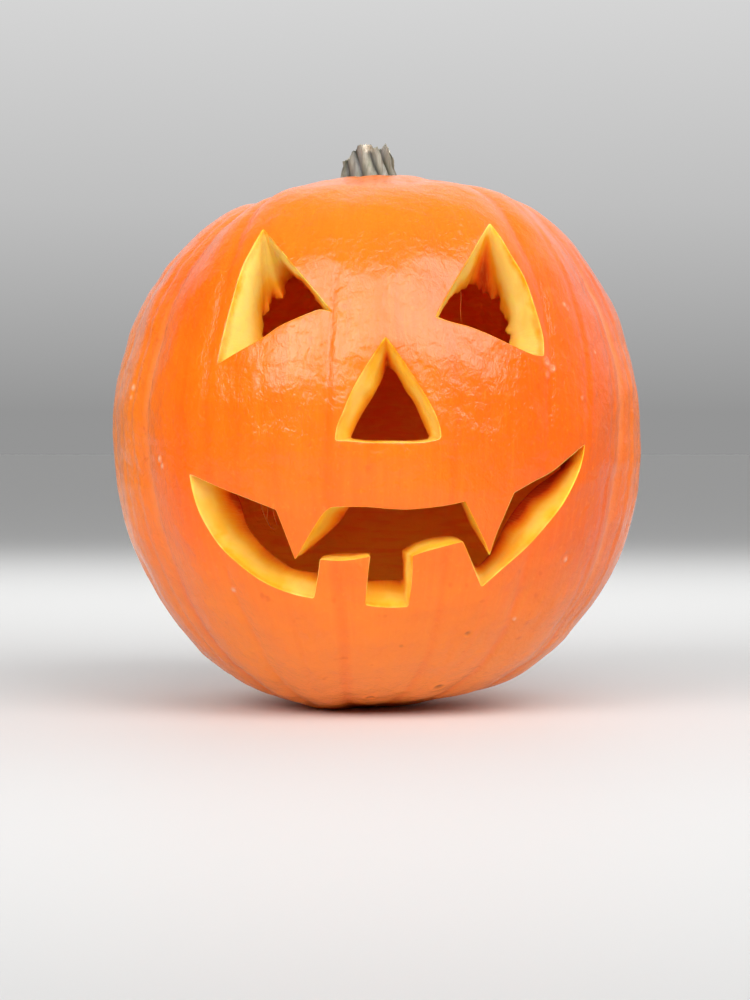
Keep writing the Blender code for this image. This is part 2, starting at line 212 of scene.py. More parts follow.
# the sides and the underside, against an even body, in millimetres
LEFT_SIDE = curve(
    (0, 12, 17, 20, 23, 25, 27.5, 30, 33, 37, 43, 50, 54, 62, 66, 70, 73, 77, 80, 84, 88, 92, 98, 104, 112, 117, 121,
     126, 131, 136, 141, 150, 157, 161, 165, 170, 180),
    (0, -1.0, -2.6, -3.4, -4.4, -4.6, -3.0, -0.7, -0.3, -0.5, -0.1, -0.6, -0.9, -0.8, -1.1, -1.8, -0.9, -0.4, 0.1, 1.0,
     0.2, -0.4, -1.1, -1.1, -0.7, -1.1, -1.8, -1.7, -1.5, -0.8, 0.1, 0.0, -0.4, -0.9, -1.0, -0.4, 0),
    1.0,
)
RIGHT_SIDE = curve(
    (0, 10, 14, 17, 19, 21.5, 24, 26.5, 29, 32, 35, 38, 41, 44, 47, 50, 58, 62, 66, 70, 75, 80, 84, 90, 95, 98, 102, 107,
     113, 119, 124, 128, 132, 136, 145, 153, 158, 163, 168, 180),
    (0, -2.0, -3.4, -3.6, -2.6, -1.7, -1.1, -0.1, 0.5, 1.1, 1.1, 0.8, 0.4, -0.1, -0.6, -1.4, -1.5, -1.0, -1.0, -1.7, -1.1,
     -1.0, -1.0, -1.6, -1.0, -1.6, -1.4, -1.1, -1.5, -0.8, -0.7, -1.1, -1.5, -0.6, -0.4, 0.0, -1.1, -2.0, -1.4, 0),
    1.0,
)
LEFT_ACROSS = curve((-190, -150, -120, -66, -38, 190), (0, 0, 1, 1, 0, 0), 4.0)
RIGHT_ACROSS = curve((-190, 42, 64, 118, 150, 190), (0, 0, 1, 1, 0, 0), 4.0)
FRONT_BASE = curve((0, 150, 157, 162, 166, 171, 176, 180), (0, 0, -0.5, -1.9, -3.6, -4.0, -2.2, 0), 1.5)
BASE_ACROSS = curve((-190, -34, -10, 36, 66, 190), (0, 0, 1, 1, 0, 0), 4.0)
# how far a furrow leans out of its meridian near the stem, in degrees
LEAN_LEFT = curve((0, 30, 36, 42, 50, 180), (1, 1, 0.7, 0.3, 0, 0))
LEAN_RIGHT = curve((0, 28, 36, 41, 48, 57, 68, 80, 180), (1, 1, 0.65, 0.4, 0.27, 0.25, 0.16, 0, 0))
LEAN_ACROSS_LEFT = curve((-190, -84, -57, -38, -12, 190), (0, 0, -5, -8, 0, 0), 3.0)
LEAN_ACROSS_RIGHT = curve((-190, 10, 38, 52, 68, 90, 190), (0, 0, 12, 10, 6, 0, 0), 3.0)


def read(table, angle):
    return np.interp(angle, *table)


def settled(polar, azimuth):
    """How far the real body stands out of an even one."""
    return (
        read(SHOULDER, polar) * read(SHOULDER_ACROSS, azimuth)
        + read(LEFT_SIDE, polar) * read(LEFT_ACROSS, azimuth)
        + read(RIGHT_SIDE, polar) * read(RIGHT_ACROSS, azimuth)
        + read(FRONT_BASE, polar) * read(BASE_ACROSS, azimuth)
        - 1.5 * np.exp(-(((azimuth - 0.62) / 0.22) ** 2) - ((polar - 0.34) / 0.11) ** 2)
    )


def wander(polar, azimuth):
    """Furrows aren't quite straight: the azimuth that a rib is looked up with."""
    way = toward(polar, azimuth) * 100.0
    lean = read(LEAN_LEFT, polar) * read(LEAN_ACROSS_LEFT, azimuth)
    lean = lean + read(LEAN_RIGHT, polar) * read(LEAN_ACROSS_RIGHT, azimuth)
    return azimuth - np.radians(lean) + np.radians(0.9) * waves(way, 90.0, 11) * np.sin(polar) ** 2


def furrow_near(polar, azimuth):
    """Millimetres to the nearest furrow, and its number."""
    place, rib = rib_place(wander(polar, azimuth))
    width = FURROW_NEXT[rib + 1] - FURROW_NEXT[rib]
    second = place > 0.5
    turn = np.where(second, 1.0 - place, place) * width
    number = np.where(second, (rib + 1) % len(FURROWS), rib)
    return turn * BODY_RADIUS * np.sin(polar), number, np.where(second, -1.0, 1.0)


# narrow creases beside the furrows: azimuth, from and to which polar angle, depth, width
CREASES = (
    (-63.5, 28, 150, 0.55, 1.7),
    (-69.0, 75, 140, 0.35, 1.5),
    (-97.0, 30, 150, 0.5, 1.8),
    (48.0, 24, 100, 0.50, 1.9),
    (59.6, 30, 150, 0.55, 1.5),
    (70.0, 40, 140, 0.55, 1.6),
    (76.0, 60, 120, 0.35, 1.4),
    (-10.3, 50, 106, 0.45, 2.0),
    (-24.5, 66, 106, 0.20, 2.2),
    (13.5, 58, 96, 0.22, 2.2),
    (21.5, 118, 158, 0.40, 1.8),
    (-23.0, 120, 160, 0.35, 1.8),
    (2.0, 122, 162, 0.35, 1.8),
    (124.0, 35, 150, 0.5, 1.8),
    (-140.0, 30, 140, 0.5, 1.8),
    (170.0, 40, 150, 0.45, 1.7),
)


def skin_radius(polar, azimuth):
    ratio = np.hypot(np.sin(azimuth), BODY_DEPTH_RATIO * np.cos(azimuth))
    radius = outline_radius(polar, ratio)
    side, rise = np.sin(polar), np.cos(polar)
    away = radius * side
    end_depth = np.where(rise > 0, FURROW_STEM_DEPTH, FURROW_BASE_DEPTH)
    deep = FURROW_DEPTH + (end_depth - FURROW_DEPTH) * np.abs(rise) ** 3
    deep = deep * np.minimum(1.0, away / 40.0) ** 1.5
    turned = wander(polar, azimuth)
    place, rib = rib_place(turned)
    blend = smooth(0.3, 0.7, place)
    after = (rib + 1) % len(FURROWS)
    top = smooth(math.radians(66), math.radians(42), polar)
    low = smooth(math.radians(112), math.radians(132), polar)
    weight = 0.0
    for table, share in ((FURROW_TOP, top), (FURROW_WEIGHT, 1 - top - low), (FURROW_LOW, low)):
        weight = weight + share * (table[rib] * (1 - blend) + table[after] * blend)
    crown = np.sin(math.pi * np.clip(place, 0.0, 1.0)) ** RIB_ROUNDNESS
    # the furrow's very bottom is rounded over about 3 mm
    near, _, _ = furrow_near(polar, azimuth)
    crown = np.maximum(crown, 0.0) * (1 - 0.35 * np.exp(-((near / 2.2) ** 2)))
    radius = radius - deep * weight * (1.0 - crown)
    for middle, first, last, depth, width in CREASES:
        gap = (turned - math.radians(middle) + math.pi) % (2 * math.pi) - math.pi
        gap = gap * BODY_RADIUS * side / width
        there = smooth(math.radians(first), math.radians(first + 14), polar) * smooth(
            math.radians(last), math.radians(last - 14), polar
        )
        radius = radius - depth * there * (np.exp(-(gap**2)) - 0.45 * np.exp(-((gap - 2.2) ** 2)))
    up = rise > 0
    radius = radius + np.where(up, SHOULDER_SWELL * np.sin(azimuth) * side * np.abs(rise) ** 6, 0.0)
    radius = radius - np.where(up, DIMPLE_DEPTH * np.exp(-((away / DIMPLE_RADIUS) ** 2)), 0.0)
    radius = radius + settled(polar, azimuth)
    # ribs are never quite even
    way = toward(polar, azimuth) * BODY_RADIUS
    settle = np.minimum(1.0, away / 30.0)
    radius = radius + settle * (0.42 * waves(way, 62.0, 3) + 0.20 * waves(way, 24.0, 4))
    radius = radius + settle * 0.075 * waves(way, 9.0, 5)
    for place_of, rings, _, _ in SCARS:
        gap = np.linalg.norm(way - place_of, axis=-1)
        for radius_of, width, height in rings:
            radius = radius + height * np.exp(-(((gap - radius_of) / width) ** 2))
    return radius


def lean_at(height):
    rise = (height - WAIST) / BODY_RADIUS
    return np.where(rise > 0, STEM_SHIFT, BASE_SHIFT) * np.minimum(1.0, np.abs(rise)) ** SHIFT_POWER


def skin_points(polar, azimuth):
    radius = skin_radius(polar, azimuth)
    away = radius * np.sin(polar)
    height = WAIST + radius * np.cos(polar)
    scar = SCAR_DEPTH * np.maximum(0.0, 1.0 - (away / SCAR_RADIUS) ** 2) ** 2
    height = np.where(height < 0, scar, height)
    return np.stack(
        (away * np.sin(azimuth) + lean_at(height), -away * np.cos(azimuth), height), -1
    )


def skin_angles(points):
    x = points[..., 0] - lean_at(points[..., 2])
    rise = points[..., 2] - WAIST
    away = np.hypot(x, points[..., 1])
    return np.arctan2(away, rise), np.arctan2(x, -points[..., 1]), np.hypot(away, rise)


def inside_skin(points):
    polar, azimuth, radius = skin_angles(points)
    return radius < skin_radius(polar, azimuth)


def hollow_radius(polar, azimuth):
    rise = np.cos(polar)
    wall = WALL_SIDE + (np.where(rise > 0, WALL_TOP, WALL_BASE) - WALL_SIDE) * rise * rise
    place, _ = rib_place(azimuth)
    radius = outline_radius(polar) - wall
    radius = radius - 0.5 * FURROW_DEPTH * (1 - np.sin(math.pi * place)) * np.sin(polar)
    way = toward(polar, azimuth) * 108.0
    # the marks of the scraper, and the stringy flesh that it left
    drag = way * np.array((1.0, 1.0, 0.35))
    radius = radius + 0.9 * waves(way, 40.0, 21) + 0.55 * waves(drag, 9.0, 22)
    return radius - 0.35 * np.abs(waves(drag, 5.5, 23))


def hollow_points(polar, azimuth):
    radius = hollow_radius(polar, azimuth)
    return toward(polar, azimuth) * radius[..., None] + np.array((0.0, 0.0, WAIST))


def hollow_angles(points):
    away = np.hypot(points[..., 0], points[..., 1])
    rise = points[..., 2] - WAIST
    return np.arctan2(away, rise), np.arctan2(points[..., 0], -points[..., 1]), np.hypot(away, rise)


def outside_hollow(points):
    polar, azimuth, radius = hollow_angles(points)
    return radius > hollow_radius(polar, azimuth)


def cast(places, before):
    """The points on a surface where the lines from SIGHT through these places
    meet it. before(points) is true short of the surface."""
    far = np.stack((places[:, 0], np.zeros(len(places)), places[:, 1]), -1)
    low = np.full(len(places), (FRONT - SIGHT[1]) / -SIGHT[1])
    high = np.ones(len(places))
    for _ in range(30):
        middle = (low + high) / 2
        short = before(SIGHT + (far - SIGHT) * middle[:, None])
        low = np.where(short, middle, low)
        high = np.where(short, high, middle)
    return SIGHT + (far - SIGHT) * high[:, None]


def onto_skin(places):
    return cast(np.asarray(places, float), lambda p: ~inside_skin(p))


def onto_hollow(places):
    return cast(np.asarray(places, float), outside_hollow)


def flat(points_or_angles):
    """Stereographic plane about the middle of the face, with its pole behind."""
    polar, azimuth = points_or_angles
    way = toward(polar, azimuth)
    return np.stack((way[..., 0], way[..., 2]), -1) / (1.0 - way[..., 1])[..., None]


# ---- outlines ----------------------------------------------------------------

def spline(knots, count):
    """A dense curve through the knots, 24 steps between each two, both ends kept. count is not used: it is given back
    as it came.
    """
    knots = np.asarray(knots, float)
    if len(knots) > 2:
        ends = np.vstack((2 * knots[0] - knots[1], knots, 2 * knots[-1] - knots[-2]))
        dense = []
        for a, b, c, d in zip(ends, ends[1:], ends[2:], ends[3:]):
            t = np.linspace(0, 1, 24, endpoint=False)[:, None]
            m0, m1 = (c - a) / 2, (d - b) / 2
            dense.append(
                (2 * t**3 - 3 * t**2 + 1) * b
                + (t**3 - 2 * t**2 + t) * m0
                + (-2 * t**3 + 3 * t**2) * c
                + (t**3 - t**2) * m1
            )
        knots = np.vstack(dense + [knots[-1:]])
    return knots, count


def along(path, fractions):
    """Points at these fractions of the path's length."""
    steps = np.linalg.norm(np.diff(path, axis=0), axis=1)
    gone = np.concatenate(([0.0], np.cumsum(steps)))
    gone /= gone[-1]
    return np.stack([np.interp(fractions, gone, path[:, i]) for i in range(2)], -1)


def length_of(path):
    return np.linalg.norm(np.diff(path, axis=0), axis=1).sum()


def columns_of(ring):
    """The ring's columns: places on the rind and on the hollow's wall."""
    corners = [row for row in ring if row[0] != "edge"]
    edges = [row for row in ring if row[0] == "edge"]
    paths = []
    for i, edge in enumerate(edges):
        start, end = corners[i], corners[(i + 1) % len(corners)]
        outer, _ = spline([start[1], *edge[1], end[1]], 0)
        # the curve stops short of its corners, which are rounded
        whole = length_of(outer)
        cut0, cut1 = start[2] / whole, 1 - end[2] / whole
        outer = along(outer, np.linspace(cut0, cut1, 400))
        inner, _ = spline([start[3][-1], *edge[2], end[3][0]], 0)
        paths.append((outer, inner, edge[3]))
    outers, inners, tight = [], [], []
    for i, corner in enumerate(corners):
        before, after = paths[i - 1], paths[i]
        a, b, c = before[0][-1], np.asarray(corner[1]), after[0][0]
        inner = np.asarray(corner[3], float)
        count = max(6 if corner[0] == "tip" else 5, math.ceil(length_of(inner) / (0.62 if corner[0] == "apex" else COLUMN)))
        t = (np.arange(count) / count)[:, None]
        outers.append((1 - t) ** 2 * a + 2 * t * (1 - t) * b + t**2 * c)
        inners.append(along(inner, t[:, 0]))
        outer, inner, pairs = after
        count = math.ceil(max(length_of(outer), length_of(inner)) / COLUMN)
        t = np.arange(count) / count
        outers.append(along(outer, t))
        pairs = [(0.0, 0.0), *pairs, (1.0, 1.0)]
        inners.append(along(inner, np.interp(t, [p[0] for p in pairs], [p[1] for p in pairs])))
    return np.vstack(outers), np.vstack(inners)


def outward(places, window):
    """Unit directions out of a ring, averaged over a window of its length."""
    nxt = np.roll(places, -1, axis=0)
    step = nxt - places
    area = (places[:, 0] * nxt[:, 1] - nxt[:, 0] * places[:, 1]).sum()
    size = np.linalg.norm(step, axis=1)
    side = np.stack((step[:, 1], -step[:, 0]), -1) * (1 if area > 0 else -1)
    whole = size.sum()
    middle = np.cumsum(size) - size / 2
    at = np.cumsum(size) - size
    gap = np.abs(at[:, None] - middle[None, :])
    gap = np.minimum(gap, whole - gap)
    near = np.exp(-((gap / window) ** 2))
    mean = near @ side
    return mean / np.maximum(np.linalg.norm(mean, axis=1), 1e-9)[:, None]


def untangled(places):
    """The closed outline without the small loops that moving it sideways can leave."""
    places = places.copy()
    n = len(places)
    for _ in range(4):
        found = False
        after = np.roll(places, -1, axis=0)
        way = after - places
        for i in range(n):
            j = (i + 2 + np.arange(14)) % n
            gap = places[j] - places[i]
            size = way[i, 0] * way[j, 1] - way[i, 1] * way[j, 0]
            size = np.where(np.abs(size) < 1e-12, 1e-12, size)
            t = (gap[:, 0] * way[j, 1] - gap[:, 1] * way[j, 0]) / size
            u = (gap[:, 0] * way[i, 1] - gap[:, 1] * way[i, 0]) / size
            hit = np.flatnonzero((t > -1e-6) & (t < 1 + 1e-6) & (u > -1e-6) & (u < 1 + 1e-6))
            if len(hit):
                span = hit[-1] + 2
                low, high = places[(i - 1) % n], places[(i + span + 2) % n]
                for k in range(span + 2):
                    part = (k + 1) / (span + 3)
                    places[(i + k) % n] = low + (high - low) * part
                after = np.roll(places, -1, axis=0)
                way = after - places
                found = True
        if not found:
            break
    return places


def evened(places, window):
    """A closed line of points, each averaged with those within this distance along it."""
    step = np.linalg.norm(np.roll(places, -1, axis=0) - places, axis=1)
    at = np.cumsum(step) - step
    gap = np.abs(at[:, None] - at[None, :])
    gap = np.minimum(gap, step.sum() - gap)
    near = np.exp(-0.5 * (gap / window) ** 2) * (step + np.roll(step, 1))[None, :]
    return (near @ places) / near.sum(axis=1)[:, None]


def within(polygon, points):
    inside = np.zeros(len(points), bool)
    x, y = points[:, 0], points[:, 1]
    for (x0, y0), (x1, y1) in zip(polygon, np.roll(polygon, -1, axis=0)):
        if y0 == y1:
            continue
        crosses = (y0 > y) != (y1 > y)
        inside ^= crosses & (x < (x1 - x0) * (y - y0) / (y1 - y0) + x0)
    return inside


def nearest(points, others, chunk=4000):
    """Distance from each point to the nearest of the others."""
    found = np.empty(len(points))
    for i in range(0, len(points), chunk):
        gap = points[i : i + chunk, None, :] - others[None, :, :]
        found[i : i + chunk] = np.sqrt((gap**2).sum(-1).min(1))
    return found


def spread(spacing_at, radius, clear_back=math.radians(174.5)):
    """Directions spread over a sphere in a spiral round the face, this far apart."""
    psi = np.linspace(0, clear_back, 4000)
    rate = 2 * math.pi * radius**2 * np.sin(psi) / (0.866 * spacing_at(psi) ** 2)
    count = np.concatenate(([0.0], np.cumsum((rate[1:] + rate[:-1]) / 2 * np.diff(psi))))
    n = int(count[-1])
    psi = np.interp(np.arange(n) + 0.5, count, psi)
    phi = np.arange(n) * math.pi * (3 - math.sqrt(5))
    # psi is the angle from the face, -Y
    way = np.stack((np.sin(psi) * np.cos(phi), -np.cos(psi), np.sin(psi) * np.sin(phi)), -1)
    ring = math.radians(176.5)
    turn = np.arange(40) * 2 * math.pi / 40
    last = np.stack(
        (math.sin(ring) * np.cos(turn), np.full(40, -math.cos(ring)), math.sin(ring) * np.sin(turn)), -1
    )
    return np.vstack((way, last))


def angles_of(way):
    return np.arccos(np.clip(way[:, 2], -1, 1)), np.arctan2(way[:, 0], -way[:, 1])


def skin_of_triangles(angles, rings):
    """Triangles over directions, with holes inside the rings. rings are the
    angles of each hole's outline. Returns (angles, faces, index of each ring's
    points) with the last point at the back pole."""
    polar = np.concatenate([r[0] for r in rings] + [angles[0]])
    azimuth = np.concatenate([r[1] for r in rings] + [angles[1]])
    places = flat((polar, azimuth))
    index, edges, start = [], [], 0
    for ring in rings:
        n = len(ring[0])
        ids = np.arange(start, start + n)
        index.append(ids)
        edges += list(zip(ids.tolist(), np.roll(ids, -1).tolist()))
        start += n
    found, _, faces, origin, _, _ = delaunay_2d_cdt(
        [tuple(p) for p in places.tolist()], edges, [], 0, 1e-10, True
    )
    if len(found) > len(places):
        raise RuntimeError(f"outlines cross: {len(found) - len(places)} new points")
    back = np.array([o[0] for o in origin])
    faces = back[np.array(faces)]
    # drop what lies in a hole
    low = faces.max(axis=1) < start
    middle = places[faces].mean(axis=1)
    drop = np.zeros(len(faces), bool)
    for ids in index:
        mine = low & (faces >= ids[0]).all(axis=1) & (faces <= ids[-1]).all(axis=1)
        rows = np.flatnonzero(mine)
        drop[rows[within(places[ids], middle[rows])]] = True
    faces = faces[~drop]
    # close the small hole round the back pole
    ends = np.concatenate((faces[:, [0, 1]], faces[:, [1, 2]], faces[:, [2, 0]]))
    key = {tuple(e) for e in ends.tolist()}
    last = len(places)
    rim = [(a, b) for a, b in key if (b, a) not in key and a >= start and b >= start]
    cap = np.array([(b, a, last) for a, b in rim])
    faces = np.vstack((faces, cap))
    polar = np.append(polar, math.pi / 2)
    azimuth = np.append(azimuth, math.pi)
    return (polar, azimuth), faces, index


# ---- marks on the rind -------------------------------------------------------
# place on the face, then rings of (radius, width, height): a ring of radius 0
# is a bump or a pit. Then how pale the mark is, or how dark if below 0, and how wide.
SCAR_TABLE = (
    ((-111.8, 126.2), ((0.0, 1.3, 0.45), (2.2, 1.0, -0.3)), 0.60, 1.6),
    ((-110.4, 122.6), ((0.0, 1.0, 0.25),), 0.6, 1.3),
    ((-125.0, 162.5), ((0.0, 1.2, 0.35),), 0.7, 1.4),
    ((-126.2, 157.5), ((0.0, 1.0, 0.2),), 0.5, 1.1),
    ((86.3, 175.6), ((1.9, 0.8, 0.6), (0.0, 0.9, -0.6)), 0.34, 2.3),
    ((89.2, 172.2), ((1.3, 0.7, 0.5), (0.0, 0.8, -0.3)), 0.30, 1.9),
    ((86.6, 169.0), ((1.2, 0.7, 0.4), (0.0, 0.8, -0.3)), 0.26, 1.6),
    ((95.2, 205.0), ((0.0, 0.9, 0.35),), 0.40, 1.2),
    ((97.0, 202.5), ((0.0, 0.8, 0.25),), 0.3, 1.0),
    ((111.0, 180.5), ((0.0, 0.9, 0.35),), 0.35, 1.1),
    ((104.5, 157.0), ((0.0, 1.0, 0.3),), 0.25, 1.2),
    ((96.2, 74.5), ((0.0, 1.2, 0.5), (2.2, 0.9, -0.25)), 0.55, 1.3),
    ((-73.8, 59.0), ((0.0, 1.0, 0.3),), 0.6, 1.2),
    ((43.0, 248.5), ((0.0, 0.7, 0.05),), 0.16, 0.8),
    ((42.4, 245.5), ((0.0, 0.7, 0.05),), 0.22, 0.9),
    ((41.7, 242.0), ((0.0, 0.7, 0.05),), 0.20, 1.0),
    ((46.0, 36.4), ((0.0, 1.2, -0.5), (2.4, 1.0, 0.2)), -0.55, 1.2),
    ((31.2, 9.0), ((0.0, 1.6, -0.9), (3.0, 1.2, 0.3)), -0.8, 1.8),
    ((-4.0, 3.5), ((0.0, 1.5, -0.7), (2.6, 1.0, 0.3)), -0.6, 1.6),
    ((-40.0, 60.0), ((0.0, 0.9, -0.2),), -0.35, 1.0),
    ((12.0, 30.0), ((0.0, 0.9, -0.2),), -0.35, 1.1),
    ((70.0, 44.0), ((0.0, 0.9, 0.25),), 0.5, 1.0),
)
SCARS = []


def place_scars():
    """Turns the table's places on the face into directions from the body's core."""
    found = onto_skin([row[0] for row in SCAR_TABLE])
    polar, azimuth, _ = skin_angles(found)
    for way, (_, marks, pale, width) in zip(toward(polar, azimuth) * BODY_RADIUS, SCAR_TABLE):
        SCARS.append((way, marks, pale, width))


def paleness(polar, azimuth):
    """How pale the marks make the rind, from -1 to 1."""
    way = toward(polar, azimuth) * BODY_RADIUS
    total = np.zeros(len(way))
    for place_of, _, pale, width in SCARS:
        total += pale * np.exp(-((np.linalg.norm(way - place_of, axis=-1) / width) ** 2))
    return total


# how fast each cut's flesh turns from yellow to orange with depth, and on to the dark red that is painted shade deep in
# the cut
HUE_DEPTH = {"eye_left": 0.62, "eye_right": 0.62, "nose": 0.92, "mouth": 1.0}
# where each eye is cut to a point beside the nose
NOSE_SIDE = {"eye_left": (-23.8, 201.6), "eye_right": (29.7, 198.6)}
# painted shade: places where the flesh is darker and more orange than its depth says, where shade falls in the cuts; a
# negative one paints light on a shaded facet: (place, reach, millimetres)
PAINTED_LIGHT_AND_SHADE_PATCHES = (
    ((-50.0, 226.0), (5.0, 8.0), -4.0),
    ((-50.5, 209.5), (5.0, 4.0), 3.0),
    ((54.0, 224.0), (4.5, 13.0), 14.0),
    ((55.8, 237.0), (2.2, 8.0), 10.0),
    ((83.0, 113.0), (12.0, 8.0), 15.0),
    ((95.0, 122.5), (8.0, 6.0), 8.0),
    ((70.0, 99.0), (9.0, 9.0), 13.0),
    ((61.0, 88.0), (5.0, 8.0), 7.0),
    ((-47.5, 236.0), (1.6, 9.0), 10.0),
    ((-38.0, 216.0), (4.5, 9.0), 9.0),
    ((-34.0, 205.0), (6.0, 9.0), 9.0),
    ((4.6, 178.0), (2.2, 8.0), 13.0),
    ((-20.0, 97.5), (4.5, 5.0), 5.0),
    ((-72.0, 106.0), (10.0, 6.0), 5.0),
)


def torn(places, seed):
    """How far the knife's end tore the flesh, along an opening's far outline."""
    at = np.column_stack((places, np.zeros(len(places))))
    return 0.34 * waves(at, 3.0, seed) + 0.20 * waves(at, 7.0, seed + 1)


def drawn_tight(grid, across, down, rounds):
    """The rows between the first and the last, drawn as tight as a skin between them."""
    grid = grid.copy()
    wide, tall = 1 / across**2, 1 / down**2
    whole = 2 * (wide + tall)
    for _ in range(rounds):
        beside = np.roll(grid, 1, axis=1) + np.roll(grid, -1, axis=1)
        grid[1:-1] = (wide * beside[1:-1] + tall * (grid[:-2] + grid[2:])) / whole
    return grid


def seen(points):
    """Where points lie as seen from SIGHT, in the openings' own places."""
    share = -SIGHT[1] / (points[:, 1] - SIGHT[1])
    return np.stack((points[:, 0] * share, SIGHT[2] + (points[:, 2] - SIGHT[2]) * share), -1)


def depth_with_painted_shade(points, depth, factor):
    place = seen(points)
    total = depth * factor
    for middle, reach, more in PAINTED_LIGHT_AND_SHADE_PATCHES:
        total = total + more * np.exp(-(((place - middle) / reach) ** 2).sum(1))
    return total


def shell_arrays():
    """Points, faces with their finish, and how deep in the wall each point is, with painted light and shade patches
    added to that depth for the flesh's colour.
    """
    outlines = {name: columns_of(ring) for name, ring in OPENINGS.items()}
    cuts = {}
    for number, (name, (outer, inner)) in enumerate(outlines.items()):
        if name.startswith("eye"):
            inner = untangled(inner + outward(inner, 2.2) * torn(inner, 60 + number)[:, None])
        most = 1.0
        if name.startswith("eye"):
            away = np.linalg.norm(outer - NOSE_SIDE[name], axis=1)
            most = (1.2 + 3.8 * smooth(10.0, 24.0, away))[:, None]
        cuts[name] = {
            "rim": onto_skin(untangled(outer + outward(outer, 1.3) * RIND_ROUND)),
            "edge": onto_skin(outer),
            "mouth": onto_hollow(inner),
            "back": onto_hollow(untangled(inner + outward(inner, 2.2) * INNER_ROUND)),
            "number": number,
            "hue": HUE_DEPTH[name],
            "even": 8.0 if name.startswith("eye") else 1.3,
            "most": most,
        }

    def front(psi):
        fine, coarse = ((1.75, 2.7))
        return fine + (coarse - fine) * smooth(math.radians(72), math.radians(98), psi)

    # the rind
    rings = [skin_angles(cut["rim"])[:2] for cut in cuts.values()]
    way = spread(front, BODY_RADIUS)
    extra = []
    for place_of, marks, _, _ in SCARS:
        reach = max(r + 2 * w for r, w, _ in marks)
        n = int((reach / 0.42) ** 2 * 1.0)
        i = np.arange(n) + 0.5
        r = reach * np.sqrt(i / n)
        turn = i * math.pi * (3 - math.sqrt(5))
        axis = place_of / np.linalg.norm(place_of)
        side = np.cross(axis, (0.0, 0.0, 1.0))
        side /= np.linalg.norm(side)
        up = np.cross(axis, side)
        points = place_of + r[:, None] * (np.cos(turn)[:, None] * side + np.sin(turn)[:, None] * up)
        extra.append(points / np.linalg.norm(points, axis=1)[:, None])
        gone = np.linalg.norm(way * BODY_RADIUS - place_of, axis=1) < reach + 0.8
        way = way[~gone]
    way = np.vstack([*extra, way])
    polar, azimuth = angles_of(way)
    places = flat((polar, azimuth))
    keep = np.ones(len(way), bool)
    scale = BODY_RADIUS * 2 / (1 + (places**2).sum(1))  # millimetres for one unit of the plane
    for ring in rings:
        outline = flat(ring)
        box = (places >= outline.min(0) - 0.03).all(1) & (places <= outline.max(0) + 0.03).all(1)
        rows = np.flatnonzero(box)
        hole = within(outline, places[rows])
        near = nearest(places[rows], outline) * scale[rows] < 1.05
        keep[rows[hole | near]] = False
    (polar, azimuth), faces, index = skin_of_triangles((polar[keep], azimuth[keep]), rings)
    rind = skin_points(polar, azimuth)
    for ids, cut in zip(index, cuts.values()):
        rind[ids] = cut["rim"]
    a, b, c = (rind[faces[:, i]] for i in range(3))
    out = (np.cross(b - a, c - a) * (a - (0, 0, WAIST))).sum(1) < 0
    faces[out] = faces[out][:, ::-1]
    points = [rind]
    all_faces = [faces]
    finish = [np.zeros(len(faces), np.int32)]
    deep = [np.zeros(len(rind))]
    cut_at = [np.zeros((len(rind), 3))]
    turned = [np.stack((np.cos(azimuth), np.sin(azimuth), polar), -1)]
    near, number, _ = furrow_near(polar, azimuth)
    top = smooth(math.radians(66), math.radians(42), polar)
    weight = FURROW_TOP[number] * top + FURROW_WEIGHT[number] * (1 - top)
    furrow = [near + 5.0 * np.clip(1.0 - weight, 0.0, 1.0)]
    pale = [paleness(polar, azimuth)]
    total = len(rind)

    # the hollow
    def coarse(psi):
        return np.full_like(psi, 3.3)

    back_rings = [hollow_angles(cut["back"])[:2] for cut in cuts.values()]
    way = spread(coarse, 108.0)
    polar_h, azimuth_h = angles_of(way)
    places = flat((polar_h, azimuth_h))
    keep = np.ones(len(way), bool)
    scale = 108.0 * 2 / (1 + (places**2).sum(1))
    for ring in back_rings:
        outline = flat(ring)
        box = (places >= outline.min(0) - 0.05).all(1) & (places <= outline.max(0) + 0.05).all(1)
        rows = np.flatnonzero(box)
        hole = within(outline, places[rows])
        near_h = nearest(places[rows], outline) * scale[rows] < 1.5
        keep[rows[hole | near_h]] = False
    (polar_h, azimuth_h), faces_h, index_h = skin_of_triangles(
        (polar_h[keep], azimuth_h[keep]), back_rings
    )
    hollow = hollow_points(polar_h, azimuth_h)
    for ids, cut in zip(index_h, cuts.values()):
        hollow[ids] = cut["back"]
    a, b, c = (hollow[faces_h[:, i]] for i in range(3))
    out = (np.cross(b - a, c - a) * (a - (0, 0, WAIST))).sum(1) > 0
    faces_h[out] = faces_h[out][:, ::-1]
    points.append(hollow)
    all_faces.append(faces_h + total)
    finish.append(np.full(len(faces_h), 2, np.int32))
    deep.append(np.full(len(hollow), 30.0))
    cut_at.append(np.zeros((len(hollow), 3)))
    turned.append(np.stack((np.cos(azimuth_h), np.sin(azimuth_h), polar_h), -1))
    furrow.append(np.full(len(hollow), 20.0))
    pale.append(np.zeros(len(hollow)))
    hollow_start = total
    total += len(hollow)

    # the cut walls
    directed = {tuple(e) for e in np.concatenate((faces[:, [0, 1]], faces[:, [1, 2]], faces[:, [2, 0]])).tolist()}
    for ids, ids_h, cut in zip(index, index_h, cuts.values()):
        edge, inner = cut["edge"], cut["mouth"]
        line = inner - edge
        depth = np.linalg.norm(line, axis=1)
        line /= depth[:, None]
        corner = edge + line * RIND_ROUND
        rows = [cut["rim"]]
        for t in (1 / 3, 2 / 3):
            rows.append((1 - t) ** 2 * cut["rim"] + 2 * t * (1 - t) * edge + t**2 * corner)
        count = 15
        low, high = RIND_ROUND, depth - INNER_ROUND
